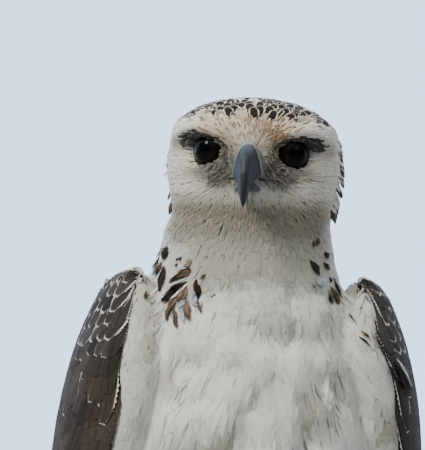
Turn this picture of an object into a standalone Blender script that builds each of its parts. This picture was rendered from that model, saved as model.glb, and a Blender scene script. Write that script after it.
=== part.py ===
"""A young martial eagle standing at rest, life size. Metres, +Z up; the bird faces -Y, its left side is +X.

Forward reaches are written as positive sizes and turned into -Y where a point is made. Heights are above the floor.
"""

import math
import random

import bmesh
import bpy
import numpy as np
from mathutils import Vector

# Driving sizes
GAP = 0.0003                # air between touching nodes
FLATNESS = math.radians(0.7)
EYE_HEIGHT = 0.696          # also the height of the head's own centre
HEAD_FORWARD = 0.008        # head centre, ahead of the body's axis
HEAD_TURN = math.radians(-14.5)
HEAD_CUT = 0.651            # where the head meets the neck
NECK_CUT = 0.600            # where the neck meets the torso
TRUNK_BOTTOM = 0.205

# Height, half width, front reach, back reach of the trunk's feathered outline
TRUNK = (
    (0.205, 0.016, -0.112, -0.150),
    (0.218, 0.030, -0.082, -0.158),
    (0.240, 0.042, -0.045, -0.160),
    (0.270, 0.053, -0.010, -0.159),
    (0.300, 0.062, 0.022, -0.157),
    (0.340, 0.072, 0.052, -0.151),
    (0.380, 0.081, 0.072, -0.145),
    (0.420, 0.087, 0.086, -0.136),
    (0.460, 0.089, 0.093, -0.126),
    (0.500, 0.088, 0.094, -0.114),
    (0.540, 0.083, 0.088, -0.099),
    (0.570, 0.075, 0.078, -0.084),
    (0.600, 0.063, 0.066, -0.066),
    (0.625, 0.056, 0.057, -0.053),
    (0.651, 0.051, 0.052, -0.044),
)

# Height above the eyes, half width, front reach, back reach of the head, in its own turned frame
HEAD = (
    (-0.0450, 0.0495, 0.0440, 0.0520),
    (-0.0350, 0.0505, 0.0435, 0.0530),
    (-0.0250, 0.0520, 0.0440, 0.0540),
    (-0.0150, 0.0535, 0.0460, 0.0545),
    (-0.0050, 0.0540, 0.0470, 0.0540),
    (0.0050, 0.0530, 0.0460, 0.0530),
    (0.0130, 0.0520, 0.0430, 0.0510),
    (0.0200, 0.0465, 0.0380, 0.0470),
    (0.0260, 0.0385, 0.0310, 0.0405),
    (0.0310, 0.0265, 0.0215, 0.0295),
    (0.0335, 0.0130, 0.0105, 0.0150),
    (0.0340, 0.0050, 0.0040, 0.0060),
)

# Swellings and hollows of the face: bearing from straight ahead, height, depth, bearing spread, height spread
FACE_FORMS = (
    (math.radians(43), -0.001, -0.0105, math.radians(23), 0.0125),
    (math.radians(50), 0.0150, 0.0035, math.radians(20), 0.0040),
    (math.radians(95), -0.0120, 0.0015, math.radians(25), 0.0120),
)

EYE_OUT = 0.0235
EYE_FORWARD = 0.0265
EYE_RADIUS = 0.0118
EYE_BEARING = math.radians(38)
LID_ANGLE = math.radians(68)    # from the eye's axis to the lid's edge, at the corners of the eye
LID_CLOSING = math.radians(20)  # how much nearer the axis the lids' edges are above and below
LID_PRESS = math.radians(4)     # and the upper lid's besides
LID_THICK = 0.0014
LID_STEPS = 16

# Upper bill: top point and bottom point (forward, height above the eyes) and half width of each section
CERE = (
    ((0.0340, 0.0066), (0.0340, -0.0158), 0.0104),
    ((0.0430, 0.0064), (0.0430, -0.0162), 0.0100),
    ((0.0520, 0.0050), (0.0520, -0.0166), 0.0094),
)
UPPER_BILL = (
    ((0.0523, 0.0044), (0.0523, -0.0162), 0.0090),
    ((0.0605, 0.0032), (0.0580, -0.0168), 0.0087),
    ((0.0682, -0.0004), (0.0622, -0.0182), 0.0078),
    ((0.0738, -0.0070), (0.0662, -0.0198), 0.0062),
    ((0.0772, -0.0155), (0.0696, -0.0224), 0.0052),
    ((0.0778, -0.0245), (0.0724, -0.0264), 0.0036),
    ((0.0752, -0.0347), (0.0742, -0.0342), 0.0006),
)
LOWER_BILL = (
    ((0.0360, -0.0180), (0.0360, -0.0258), 0.0096),
    ((0.0480, -0.0180), (0.0480, -0.0252), 0.0086),
    ((0.0580, -0.0190), (0.0570, -0.0246), 0.0066),
    ((0.0652, -0.0214), (0.0644, -0.0240), 0.0034),
)
BILL_FULLNESS = 0.36        # how soon the bill's sides reach their full width below its ridge, 0 being at once
BILL_EDGE = 0.14            # share of the bill's depth over which its sides turn in at the cutting edge
BILL_TUCK = 0.55            # how far they turn in there
NOSTRIL = (0.0098, 0.0480, -0.0010)     # out, forward, height above the eyes
NOSTRIL_RADIUS = 0.0022
MOUTH_BEARINGS = (math.radians(10), math.radians(32))   # from the bill to the corner of the mouth
MOUTH_HEIGHT = -0.0168
MOUTH_DROP = 0.0014             # of the corner, below the bill's end of the line
MOUTH_GROOVE = 0.0010
MOUTH_DEPTH = 0.0032

# Wing's outer outline: height, half width, its centre's forward place, front reach, back reach, first and last bearing
WING = (
    (0.070, 0.036, -0.184, 0.010, 0.042, 138, 170),
    (0.100, 0.049, -0.161, 0.018, 0.064, 126, 172),
    (0.160, 0.063, -0.123, 0.025, 0.082, 112, 173),
    (0.220, 0.076, -0.083, 0.036, 0.103, 97, 173),
    (0.280, 0.090, -0.050, 0.050, 0.121, 84, 173),
    (0.340, 0.102, -0.025, 0.068, 0.136, 70, 171),
    (0.400, 0.112, -0.010, 0.080, 0.141, 58, 169),
    (0.460, 0.117, 0.000, 0.088, 0.140, 49, 167),
    (0.510, 0.115, 0.002, 0.090, 0.126, 44, 164),
    (0.540, 0.1115, 0.004, 0.087, 0.113, 42, 161),
    (0.570, 0.105, 0.004, 0.080, 0.098, 41, 156),
    (0.600, 0.094, 0.004, 0.067, 0.080, 42, 145),
    (0.614, 0.086, 0.004, 0.058, 0.064, 46, 120),
    (0.621, 0.079, 0.004, 0.050, 0.052, 54, 92),
)
# Height, thickness of the wing there
WING_DEPTH = (
    (0.070, 0.0036),
    (0.160, 0.0075),
    (0.280, 0.0180),
    (0.400, 0.0360),
    (0.500, 0.0460),
    (0.560, 0.0460),
    (0.585, 0.0380),
    (0.600, 0.0300),
    (0.608, 0.0220),
    (0.616, 0.0095),
    (0.621, 0.0040),
)
WING_TIP = 0.094
WING_CUT = 0.360            # where the wing's two nodes meet, at the tips of the greater coverts
WING_TOP = 0.621
WING_EDGE = 0.16            # share of the wing's breadth over which each edge is rounded off
WING_ROUNDING = 0.30        # how far the edges turn in, as a share of the thickness

VANE_EDGE = 0.0007          # thickness of a vane at its edges and at its shaft
VANE_SHAFT = 0.0011
VANE_STEP = 0.0019          # rise from one vane to the next one that lies on it
VANE_SINK = 0.0030          # how deep a vane's root sits in the wing
VANE_CLEAR = 0.0011         # a covert's height over the wing where it comes out
# Shares of the length and of the half breadth
COVERT_OUTLINE = ((0.0, 0.62), (0.10, 0.78), (0.72, 1.0), (1.0, 0.45))
FLIGHT_OUTLINE = ((0.0, 0.72), (0.07, 0.82), (0.86, 1.0), (1.0, 0.35))
# Tiers of coverts: root height, tip height, number, lift of the tips, first and last share across the wing
COVERTS = (
    (0.604, 0.558, 7, 0.0038, 0.10, 0.90),
    (0.570, 0.510, 7, 0.0041, 0.08, 0.92),
    (0.524, 0.450, 8, 0.0042, 0.07, 0.94),
    (0.466, 0.368, 8, 0.0042, 0.07, 0.94),
)
CORE_STEP = (0.262, 0.285)  # below and above these heights the wing's body lies under the primaries, or not
CORE_INSET = 0.0045
SECONDARY_LIFT = (0.0022, 0.0032)   # over the wing's outline, near the root and at the tip
PRIMARY_LIFT = (-0.0020, -0.0014)
# Share across the wing, tip height of each secondary and tertial, from the front
SECONDARIES = (
    (0.09, 0.232), (0.20, 0.218), (0.31, 0.209), (0.42, 0.205), (0.53, 0.208),
    (0.64, 0.218), (0.75, 0.236), (0.87, 0.262),
)
SECONDARY_ROOT = 0.3575
# The same of the primaries, the outermost first
PRIMARIES = (
    (0.09, 0.132), (0.22, 0.106), (0.35, 0.088), (0.48, 0.079),
    (0.61, 0.086), (0.74, 0.106), (0.87, 0.136),
)
PRIMARY_ROOT = 0.262

# Height, outward place, half width, front reach, back reach
THIGH = (
    (0.112, 0.0570, 0.0150, -0.0060, -0.0380),
    (0.124, 0.0570, 0.0225, 0.0030, -0.0490),
    (0.150, 0.0570, 0.0275, 0.0120, -0.0570),
    (0.200, 0.0575, 0.0340, 0.0270, -0.0640),
    (0.260, 0.0575, 0.0400, 0.0440, -0.0670),
    (0.320, 0.0560, 0.0410, 0.0560, -0.0650),
    (0.370, 0.0530, 0.0360, 0.0530, -0.0580),
    (0.400, 0.0500, 0.0260, 0.0400, -0.0450),
)
LOCK_OUTLINE = ((0.0, 0.9), (0.50, 1.0), (1.0, 0.14))
LOCK_FLAT = 0.55            # a lock's thickness as a share of its breadth
LOCKS = 12
LOCK_REACH = 1.02           # how far the locks' tips stand out, as a share of the thigh's breadth there
SHANK = (
    (0.0180, 0.0575, 0.0150, 0.0120, -0.0200),
    (0.0400, 0.0570, 0.0140, 0.0090, -0.0225),
    (0.0800, 0.0565, 0.0125, 0.0010, -0.0265),
    (0.1200, 0.0560, 0.0125, -0.0050, -0.0340),
    (0.1600, 0.0560, 0.0125, -0.0120, -0.0400),
)

FOOT_OUT = 0.0575
FOOT_FORWARD = -0.004
PALM_RADIUS = 0.0155
TOE_SINK = 0.0012           # depth of the flat that each toe rests on
# Name, bearing outward from straight ahead, length to the talon, radius, talon's arc radius
TOES = (
    ("inner", -27, 0.056, 0.0088, 0.0180),
    ("middle", 5, 0.082, 0.0086, 0.0175),
    ("outer", 43, 0.064, 0.0080, 0.0155),
    ("hind", 176, 0.046, 0.0092, 0.0215),
)
TALON_RADIUS = 0.0048
TALON_START = math.radians(118)
TALON_END = math.radians(14)
TALON_TIP_HEIGHT = 0.0008

TAIL_ROOT = (-0.118, 0.262)     # forward, height
TAIL_TIP = (-0.222, 0.030)
TAIL_HALF_WIDTH = (0.022, 0.036)
TAIL_CORE = 0.46                # share of the length at which the tail's fleshy root ends
# Share of the length and half thickness of that root
TAIL_DEPTH = (
    (0.00, 0.0200),
    (0.20, 0.0150),
    (0.46, 0.0080),
)
RECTRIX_HALF = (0.0110, 0.0165)     # half breadth of a tail feather, at the root and near the tip
RECTRIX_PITCH = (0.0028, 0.0058)    # the sideways step from one to the next, the same way
RECTRIX_OUTLINE = ((0.15, 0.80), (0.45, 1.0), (0.90, 0.95), (1.0, 0.40))


def through(knots, at):
    """Values on a smooth curve through hand-set knots, each a place and its values, without overshoot."""
    knots = np.asarray(knots, float)
    place, value = knots[:, 0], knots[:, 1:]
    step = np.diff(place)[:, None]
    rise = np.diff(value, axis=0) / step
    slope = np.zeros_like(value)
    slope[0], slope[-1] = rise[0], rise[-1]
    same = rise[1:] * rise[:-1] > 0
    total = np.where(same, rise[1:] + rise[:-1], 1)
    slope[1:-1] = np.where(same, 2 * rise[1:] * rise[:-1] / total, 0)
    at = np.atleast_1d(np.asarray(at, float))
    i = np.clip(np.searchsorted(place, at) - 1, 0, len(place) - 2)
    t = np.clip((at - place[i]) / step[i, 0], 0, 1)[:, None]
    return (
        value[i] * (2 * t**3 - 3 * t**2 + 1)
        + slope[i] * step[i] * (t**3 - 2 * t**2 + t)
        + value[i + 1] * (3 * t**2 - 2 * t**3)
        + slope[i + 1] * step[i] * (t**3 - t**2)
    )


def between(ends, along):
    return ends[0] + (ends[1] - ends[0]) * along


def finish(name, colour, roughness, metallic=0.0):
    material = bpy.data.materials.get(name)
    if material is None:
        material = bpy.data.materials.new(name)
        material.use_nodes = True
        shader = material.node_tree.nodes["Principled BSDF"]
        shader.inputs["Base Color"].default_value = (*colour, 1)
        shader.inputs["Roughness"].default_value = roughness
        shader.inputs["Metallic"].default_value = metallic
    return material


def white_feather():
    return finish("white feather", (0.80, 0.79, 0.75), 0.85)


def brown_feather():
    return finish("brown feather", (0.16, 0.12, 0.095), 0.75)


def slate_horn():
    return finish("slate horn", (0.09, 0.11, 0.14), 0.35)


def grey_cere():
    return finish("grey cere", (0.34, 0.38, 0.39), 0.5)


def dark_eye():
    return finish("dark eye", (0.02, 0.012, 0.008), 0.08)


def pale_toe():
    return finish("pale toe", (0.55, 0.56, 0.50), 0.6)


def black_talon():
    return finish("black talon", (0.02, 0.02, 0.022), 0.3)


def add_object(name, mesh, material=None, collection=None):
    made = bpy.data.objects.new(name, mesh)
    (collection or bpy.context.scene.collection).objects.link(made)
    if material:
        mesh.materials.clear()
        mesh.materials.append(material)
    return made


def loft(name, rings, material=None):
    """A closed skin over rings of equally many points, each ring a list of points."""
    body = bmesh.new()
    rows = [[body.verts.new(p) for p in ring] for ring in rings]
    count = len(rows[0])
    for low, high in zip(rows, rows[1:]):
        for i in range(count):
            j = (i + 1) % count
            body.faces.new((low[i], low[j], high[j], high[i]))
    body.faces.new(rows[0])
    body.faces.new(rows[-1])
    bmesh.ops.triangulate(body, faces=body.faces)
    bmesh.ops.recalc_face_normals(body, faces=body.faces)
    mesh = bpy.data.meshes.new(name)
    body.to_mesh(mesh)
    body.free()
    if signed_volume(mesh) < 0:
        mesh.flip_normals()
    return add_object(name, mesh, material)


def signed_volume(mesh):
    mesh.calc_loop_triangles()
    corners = np.array([[mesh.vertices[i].co for i in t.vertices] for t in mesh.loop_triangles])
    return float(np.linalg.det(corners).sum() / 6)


def ball(name, centre, radius, segments=20, rings=12, material=None, stretch=(1, 1, 1)):
    body = bmesh.new()
    bmesh.ops.create_uvsphere(body, u_segments=segments, v_segments=rings, radius=radius)
    bmesh.ops.triangulate(body, faces=body.faces)
    for vertex in body.verts:
        vertex.co = Vector(a * b for a, b in zip(vertex.co, stretch)) + Vector(centre)
    mesh = bpy.data.meshes.new(name)
    body.to_mesh(mesh)
    body.free()
    return add_object(name, mesh, material)


def grown(piece, by=GAP):
    """A copy of a piece, swollen along its own normals."""
    body = bmesh.new()
    body.from_mesh(piece.data)
    bmesh.ops.triangulate(body, faces=body.faces)
    body.normal_update()
    moved = [vertex.co + vertex.normal * by * vertex.calc_shell_factor() for vertex in body.verts]
    for vertex, place in zip(body.verts, moved):
        vertex.co = place
    mesh = bpy.data.meshes.new(piece.name + " grown")
    body.to_mesh(mesh)
    body.free()
    return add_object(piece.name + " grown", mesh)


def combine(piece, others, operation, solver="EXACT"):
    """One Boolean of a piece with closed mesh objects, applied; the others are removed."""
    helpers = bpy.data.collections.new("helpers")
    bpy.context.scene.collection.children.link(helpers)
    for other in others:
        for home in list(other.users_collection):
            home.objects.unlink(other)
        helpers.objects.link(other)
    modifier = piece.modifiers.new("join", "BOOLEAN")
    modifier.operation = operation
    modifier.solver = solver
    modifier.operand_type = "COLLECTION"
    modifier.collection = helpers
    bpy.context.view_layer.update()
    graph = bpy.context.evaluated_depsgraph_get()
    mesh = bpy.data.meshes.new_from_object(piece.evaluated_get(graph))
    piece.modifiers.clear()
    piece.data = mesh
    for other in list(helpers.objects):
        bpy.data.objects.remove(other)
    bpy.data.collections.remove(helpers)
    keep_largest(mesh)
    return piece


def keep_largest(mesh):
    """Drops all but the largest closed surface."""
    body = bmesh.new()
    body.from_mesh(mesh)
    bmesh.ops.remove_doubles(body, verts=body.verts, dist=2e-6)
    bmesh.ops.dissolve_degenerate(body, edges=body.edges, dist=2e-6)
    left = set(body.faces)
    shells = []
    while left:
        shell, edge_of = set(), [left.pop()]
        while edge_of:
            face = edge_of.pop()
            shell.add(face)
            for edge in face.edges:
                for other in edge.link_faces:
                    if other in left:
                        left.discard(other)
                        edge_of.append(other)
        shells.append(shell)
    shells.sort(key=lambda shell: -sum(face.calc_area() for face in shell))
    spare = [face for shell in shells[1:] for face in shell]
    bmesh.ops.delete(body, geom=spare, context="FACES")
    loose = [vertex for vertex in body.verts if not vertex.link_faces]
    bmesh.ops.delete(body, geom=loose, context="VERTS")
    body.to_mesh(mesh)
    body.free()


def thin_out(piece):
    """Joins the nearly flat triangles that a union leaves, to keep the mesh light."""
    body = bmesh.new()
    body.from_mesh(piece.data)
    bmesh.ops.dissolve_limit(body, angle_limit=FLATNESS, verts=body.verts, edges=body.edges)
    bmesh.ops.triangulate(body, faces=body.faces)
    body.to_mesh(piece.data)
    body.free()


def seat(piece, *neighbours):
    """Trims a piece so that it meets its neighbours face to face, the gap apart."""
    return combine(piece, [grown(other) for other in neighbours], "DIFFERENCE")


def turned(point, angle):
    x, y, z = point
    c, s = math.cos(angle), math.sin(angle)
    return (x * c - y * s, x * s + y * c, z)


def head_place(out, forward, up):
    """A point of the head's own frame, in the body's."""
    x, y, _ = turned((out, -forward, 0), HEAD_TURN)
    return (x, y - HEAD_FORWARD, EYE_HEIGHT + up)


def oval(bearing, half_width, front, back):
    """Distance from the centre to an oval outline with unlike front and back."""
    along = np.where(np.cos(bearing) > 0, front, back)
    return 1 / np.sqrt((np.cos(bearing) / along) ** 2 + (np.sin(bearing) / half_width) ** 2)


def head_reach(bearing, up):
    half_width, front, back = through(HEAD, up)[0]
    reach = oval(bearing, half_width, front, back)
    for centre, height, depth, spread, tall in FACE_FORMS:
        away = (np.abs(bearing) - centre) / spread
        reach = reach + depth * np.exp(-(away**2) - ((up - height) / tall) ** 2)
    return reach


def head_rings(count=34):
    bearings = np.linspace(-math.pi, math.pi, count, endpoint=False)
    bearings = bearings - 0.32 * np.sin(bearings)       # closer together over the face
    ups = [k[0] for k in HEAD]
    levels = np.unique(ups[1:] + [0.0, 0.009, 0.0165])
    levels = np.concatenate([[HEAD_CUT + GAP - EYE_HEIGHT], levels])
    rings = []
    for up in levels:
        reach = head_reach(bearings, up)
        rings.append([head_place(r * math.sin(b), r * math.cos(b), up) for r, b in zip(reach, bearings)])
    return rings


def trunk_ring(height, count=24):
    half_width, front, back = through(TRUNK, height)[0]
    middle, deep = (front + back) / 2, (front - back) / 2
    share = np.clip((height - NECK_CUT) / (HEAD_CUT - NECK_CUT), 0, 1)
    angles = np.linspace(0, 2 * math.pi, count, endpoint=False)
    ring = [(half_width * math.sin(a), -(middle + deep * math.cos(a)), height) for a in angles]
    return [turned(p, HEAD_TURN * share * 0.8) for p in ring]


def make_torso():
    heights = np.concatenate([[TRUNK_BOTTOM, 0.210], np.linspace(0.220, NECK_CUT, 13)])
    return loft("torso", [trunk_ring(h) for h in heights], white_feather())


def make_neck():
    heights = np.linspace(NECK_CUT + GAP, HEAD_CUT, 5)
    return loft("neck", [trunk_ring(h) for h in heights], white_feather())


def eye_centre(side):
    return head_place(side * EYE_OUT, EYE_FORWARD, 0)


def eye_axis(side):
    return Vector(turned((side * math.sin(EYE_BEARING), -math.cos(EYE_BEARING), 0.06), HEAD_TURN)).normalized()


def make_lid(side):
    """A rim lying on the eyeball round its opening."""
    axis = eye_axis(side)
    across = axis.cross(Vector((0, 0, 1))).normalized()
    upward = across.cross(axis)
    centre = Vector(eye_centre(side))
    rings = []
    for k in range(LID_STEPS):
        around = 2 * math.pi * k / LID_STEPS
        outward = across * math.cos(around) + upward * math.sin(around)
        # The lids close in above and below, and the brow presses on the upper one
        opening = LID_ANGLE - LID_CLOSING * math.sin(around) ** 2 - LID_PRESS * max(0, math.sin(around))
        ring_centre = centre + (outward * math.sin(opening) + axis * math.cos(opening)) * (EYE_RADIUS + 0.0004)
        outer = outward * math.sin(opening) + axis * math.cos(opening)
        tangent = outward * math.cos(opening) - axis * math.sin(opening)
        ring = []
        for j in range(5):
            a = 2 * math.pi * j / 5
            ring.append(ring_centre + outer * LID_THICK * math.cos(a) + tangent * LID_THICK * 1.5 * math.sin(a))
        rings.append(ring)
    tube = bmesh.new()
    rows = [[tube.verts.new(p) for p in ring] for ring in rings]
    for k in range(LID_STEPS):
        low, high = rows[k], rows[(k + 1) % LID_STEPS]
        for j in range(5):
            tube.faces.new((low[j], low[(j + 1) % 5], high[(j + 1) % 5], high[j]))
    bmesh.ops.triangulate(tube, faces=tube.faces)
    bmesh.ops.recalc_face_normals(tube, faces=tube.faces)
    mesh = bpy.data.meshes.new("lid")
    tube.to_mesh(mesh)
    tube.free()
    if signed_volume(mesh) < 0:
        mesh.flip_normals()
    return add_object("lid", mesh)


def make_brow(side):
    """The bony ridge that shades the eye."""
    rings = []
    for share in np.linspace(0, 1, 7):
        bearing = side * math.radians(22 + 62 * share)
        up = 0.0085 + 0.0065 * math.sin(math.pi * min(1, share * 1.25)) - 0.004 * share
        reach = head_reach(bearing, up) - 0.0005
        bulk = 0.0042 * math.sin(math.pi * (0.12 + 0.80 * share)) + 0.0006
        outward = Vector(turned((math.sin(bearing), -math.cos(bearing), 0), HEAD_TURN))
        centre = Vector(head_place(reach * math.sin(bearing), reach * math.cos(bearing), up))
        ring = []
        for j in range(8):
            a = 2 * math.pi * j / 8
            ring.append(centre + outward * bulk * 1.1 * math.cos(a) + Vector((0, 0, bulk * 0.75 * math.sin(a))))
        rings.append(ring)
    return loft("brow", rings)


def bill_rings(sections, segments=16, fullness=BILL_FULLNESS, tuck=BILL_TUCK):
    """Rings across the bill, each between a top and a bottom point, widest just over the bottom one."""
    rings = []
    for top, bottom, half_width in sections:
        ring = []
        for k in range(segments):
            a = 2 * math.pi * k / segments
            share = 0.5 + 0.5 * math.cos(a)
            bulge = (1 - share) ** fullness * (1 - tuck * max(0.0, 1 - share / BILL_EDGE) ** 2)
            out = math.copysign(half_width * bulge, math.sin(a)) if 0 < k < segments and k != segments / 2 else 0.0
            forward = bottom[0] + (top[0] - bottom[0]) * share
            up = bottom[1] + (top[1] - bottom[1]) * share
            ring.append(head_place(out, forward, up))
        rings.append(ring)
    return rings


def smooth_sections(sections, count):
    knots = [(i, *top, *bottom, half) for i, (top, bottom, half) in enumerate(sections)]
    made = through(knots, np.linspace(0, len(sections) - 1, count))
    return [((a, b), (c, d), w) for a, b, c, d, w in made]


def mouth_groove(side):
    """A flat blade that cuts the line of the mouth from the bill to its corner."""
    rings = []
    for share in np.linspace(0, 1, 6):
        bearing = side * between(MOUTH_BEARINGS, share)
        up = MOUTH_HEIGHT - MOUTH_DROP * share
        reach = head_reach(bearing, up)
        inner, outer = reach - MOUTH_DEPTH, reach + MOUTH_DEPTH
        half = MOUTH_GROOVE / 2 * (1.15 - share)
        ring = [(inner, up - half), (outer, up - half), (outer, up + half), (inner, up + half)]
        rings.append([head_place(r * math.sin(bearing), r * math.cos(bearing), u) for r, u in ring])
    return loft("mouth groove", rings)


def make_head():
    head = loft("head", head_rings(), white_feather())
    sides = (-1, 1)
    combine(head, [make_brow(s) for s in sides], "UNION")
    combine(head, [make_lid(s) for s in sides], "UNION")
    sockets = [ball("socket", eye_centre(s), EYE_RADIUS + GAP, 16, 9) for s in sides]
    combine(head, sockets, "DIFFERENCE")
    combine(head, [mouth_groove(s) for s in sides], "DIFFERENCE")
    thin_out(head)
    return head


def make_eye(side):
    name = "eye_left" if side > 0 else "eye_right"
    return ball(name, eye_centre(side), EYE_RADIUS, 16, 9, dark_eye())


def make_bill(head):
    cere = loft("cere", bill_rings(CERE), grey_cere())
    lower = loft("bill_lower", bill_rings(smooth_sections(LOWER_BILL, 6), 12, 0.30, 0.90), slate_horn())
    upper = loft("bill_upper", bill_rings(smooth_sections(UPPER_BILL, 10)), slate_horn())
    nostrils = []
    for side in (-1, 1):
        spot = head_place(side * NOSTRIL[0], NOSTRIL[1], NOSTRIL[2])
        nostrils.append(ball("nostril", spot, NOSTRIL_RADIUS, 10, 6, stretch=(1.0, 0.9, 1.7)))
    combine(cere, nostrils, "DIFFERENCE")
    seat(cere, head)
    seat(lower, head)
    return cere, lower, upper


def wing_frame(height, share):
    """Point on the wing's outer outline at a height and a share of the way from its front edge to its back one,
    and the outward direction there, for the left wing."""
    width, centre, front, back, first, last = through(WING, height)[0]
    bearing = math.radians(first + (last - first) * share)
    reach = front if math.cos(bearing) > 0 else back
    point = Vector((width * math.sin(bearing), -(centre + reach * math.cos(bearing)), height))
    outward = Vector((math.sin(bearing) / width, -math.cos(bearing) / reach, 0)).normalized()
    return point, outward


def wing_place(height, share, lift, side):
    point, outward = wing_frame(height, share)
    made = point + outward * lift
    return Vector((side * made.x, made.y, made.z))


def edge_turn(share):
    """From 0 over the wing's middle to 1 at either edge, along a quarter of a circle."""
    near = max(0.0, 1 - min(share, 1 - share) / WING_EDGE)
    return 1 - math.sqrt(max(0.0, 1 - near * near))


def wing_core(name, side, levels, material):
    """A crescent-sectioned body that follows the wing's outer outline."""
    shares = (0.01, 0.05, 0.13, 0.25, 0.375, 0.50, 0.625, 0.75, 0.87, 0.95, 0.99)
    rings = []
    for height in levels:
        depth = through(WING_DEPTH, height)[0, 0]
        inset = CORE_INSET * float(np.clip((CORE_STEP[1] - height) / (CORE_STEP[1] - CORE_STEP[0]), 0, 1))
        outer = [wing_place(height, s, -inset - depth * WING_ROUNDING * edge_turn(s), side) for s in shares]
        inner = [wing_place(height, s, -inset - depth * (1 - 0.45 * edge_turn(s)), side) for s in shares[::3] + shares[-1:]]
        rings.append(outer + inner[::-1])
    return loft(name, rings, material)


def vane(place, outline, bent):
    """A feather's closed blade over its outline, each knot a share of the length and a half breadth.

    place(along, across, lift) gives the points; across runs from -1 to 1. A bent vane follows the curve
    under it and is thicker at its shaft.
    """
    rings = []
    for along, wide in outline:
        edge, shaft = VANE_EDGE / 2, VANE_SHAFT / 2
        if bent:
            ring = [(-wide, edge), (0, shaft), (wide, edge), (wide, -edge), (0, -shaft), (-wide, -edge)]
        else:
            ring = [(-wide, shaft), (wide, shaft), (wide, -shaft), (-wide, -shaft)]
        rings.append([place(along, across, lift) for across, lift in ring])
    return loft("vane", rings)


def wing_breadth(height):
    """Length of the outer outline across the wing at a height."""
    points = [wing_frame(height, share)[0] for share in np.linspace(0, 1, 13)]
    return sum((b - a).length for a, b in zip(points, points[1:]))


def wing_vane(side, root, tip, share, half, lifts, lean, outline, bent):
    """A vane on the wing's outer side, from the root's height to the tip's.

    half is its half breadth as a share across the wing, lifts its height over the wing's outline where it
    comes out and at the tip, lean the rise of its front edge over its back one.
    """
    out_at = outline[1][0]

    def place(along, across, up):
        height = root + (tip - root) * along
        rise = between(lifts, (along - out_at) / (1 - out_at)) if along >= out_at else lifts[0] - VANE_SINK
        where = min(0.992, max(0.008, share + half * across))
        return wing_place(height, where, rise - lean * across * 0.5 + up, side)
    return vane(place, outline, bent)


def covert_vanes(side, dice):
    made = []
    for row, (root, tip, count, lift, first, last) in enumerate(COVERTS):
        pitch = (last - first) / (count - 1)
        lowest = row == len(COVERTS) - 1
        for k in range(count):
            share = first + pitch * (k + (0.25 if row % 2 else -0.25))
            share = min(max(share, 0.06), 0.94)
            drop = dice.uniform(0.0, 0.005) if lowest else dice.uniform(-0.0025, 0.0025)
            room = 0.0006 / wing_breadth((root + tip) / 2)
            half = pitch * 0.5 * dice.uniform(0.95, 1.0) - room
            lifts = (VANE_CLEAR, lift)
            made.append(wing_vane(side, root, tip + drop, share, half, lifts, 0.0, COVERT_OUTLINE, False))
    return made


def flight_vanes(side, dice, root, feathers, lifts, wide):
    """A stack of long vanes, each on top of the one in front of it."""
    made = []
    pitch = feathers[1][0] - feathers[0][0]
    for share, tip in feathers:
        tip = tip + dice.uniform(-0.002, 0.002)
        lean = VANE_STEP * 2 * wide
        made.append(wing_vane(side, root, tip, share, pitch * wide, lifts, lean, FLIGHT_OUTLINE, True))
    return made


def make_wing(side, torso, neck, thigh, tail):
    word = "left" if side > 0 else "right"
    upper_levels = np.concatenate([np.linspace(WING_CUT, 0.600, 9), [0.608, 0.6145, 0.6185, WING_TOP]])
    lower_levels = np.concatenate([np.linspace(WING_TIP, CORE_STEP[0], 5), [CORE_STEP[1], 0.322, WING_CUT - GAP]])
    dice = random.Random(11 if side > 0 else 12)
    upper = wing_core("wing_" + word, side, upper_levels, brown_feather())
    combine(upper, covert_vanes(side, dice), "UNION")
    thin_out(upper)
    lower = wing_core("wing_tip_" + word, side, lower_levels, brown_feather())
    secondaries = flight_vanes(side, dice, SECONDARY_ROOT, SECONDARIES, SECONDARY_LIFT, 0.70)
    primaries = flight_vanes(side, dice, PRIMARY_ROOT, PRIMARIES, PRIMARY_LIFT, 0.68)
    combine(lower, secondaries + primaries, "UNION")
    thin_out(lower)
    seat(upper, torso, neck, thigh)
    seat(lower, torso, thigh, tail)
    return upper, lower


def column(name, knots, side, count, segments, material):
    rings = []
    for height in np.linspace(knots[0][0], knots[-1][0], count):
        out, half_width, front, back = through(knots, height)[0]
        middle, deep = (front + back) / 2, (front - back) / 2
        ring = []
        for k in range(segments):
            a = 2 * math.pi * k / segments
            ring.append((side * (out + half_width * math.sin(a)), -(middle + deep * math.cos(a)), height))
        rings.append(ring)
    return loft(name, rings, material)


def lock(root, tip, outward, radius):
    """A tapered, flattened lock of feathers that lies on the surface whose outward direction is given."""
    root, tip = Vector(root), Vector(tip)
    across = (tip - root).cross(outward).normalized()
    angles = np.linspace(0, 2 * math.pi, 5, endpoint=False)
    rings = []
    for share, bulk in LOCK_OUTLINE:
        centre = root.lerp(tip, share)
        half = radius * bulk
        rings.append([centre + across * half * math.cos(a) + outward * half * LOCK_FLAT * math.sin(a) for a in angles])
    return loft("lock", rings)


def trouser_locks(side, dice):
    """The ragged lower rim of the trousers, longest behind."""
    made = []
    for k in range(LOCKS):
        angle = 2 * math.pi * k / LOCKS + dice.uniform(-0.05, 0.05)
        behind = 0.5 - 0.5 * math.cos(angle)
        top = 0.158 + dice.uniform(-0.004, 0.004)
        low = 0.105 - 0.016 * behind + dice.uniform(-0.006, 0.006)
        ends = []
        for height, share in ((top, 0.90), (low, LOCK_REACH)):
            out, half_width, front, back = through(THIGH, max(height, THIGH[0][0] + 0.014))[0]
            middle, deep = (front + back) / 2, (front - back) / 2
            sideways = out + half_width * share * math.sin(angle)
            ends.append((side * sideways, -(middle + deep * share * math.cos(angle)), height))
        outward = Vector((side * math.sin(angle), -math.cos(angle), 0))
        made.append(lock(ends[0], ends[1], outward, dice.uniform(0.0070, 0.0082)))
    return made


def toe_path(side, bearing, distance):
    angle = math.radians(bearing)
    out = FOOT_OUT + math.sin(angle) * distance
    forward = FOOT_FORWARD + math.cos(angle) * distance
    return Vector((side * out, -forward, 0))


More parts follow.
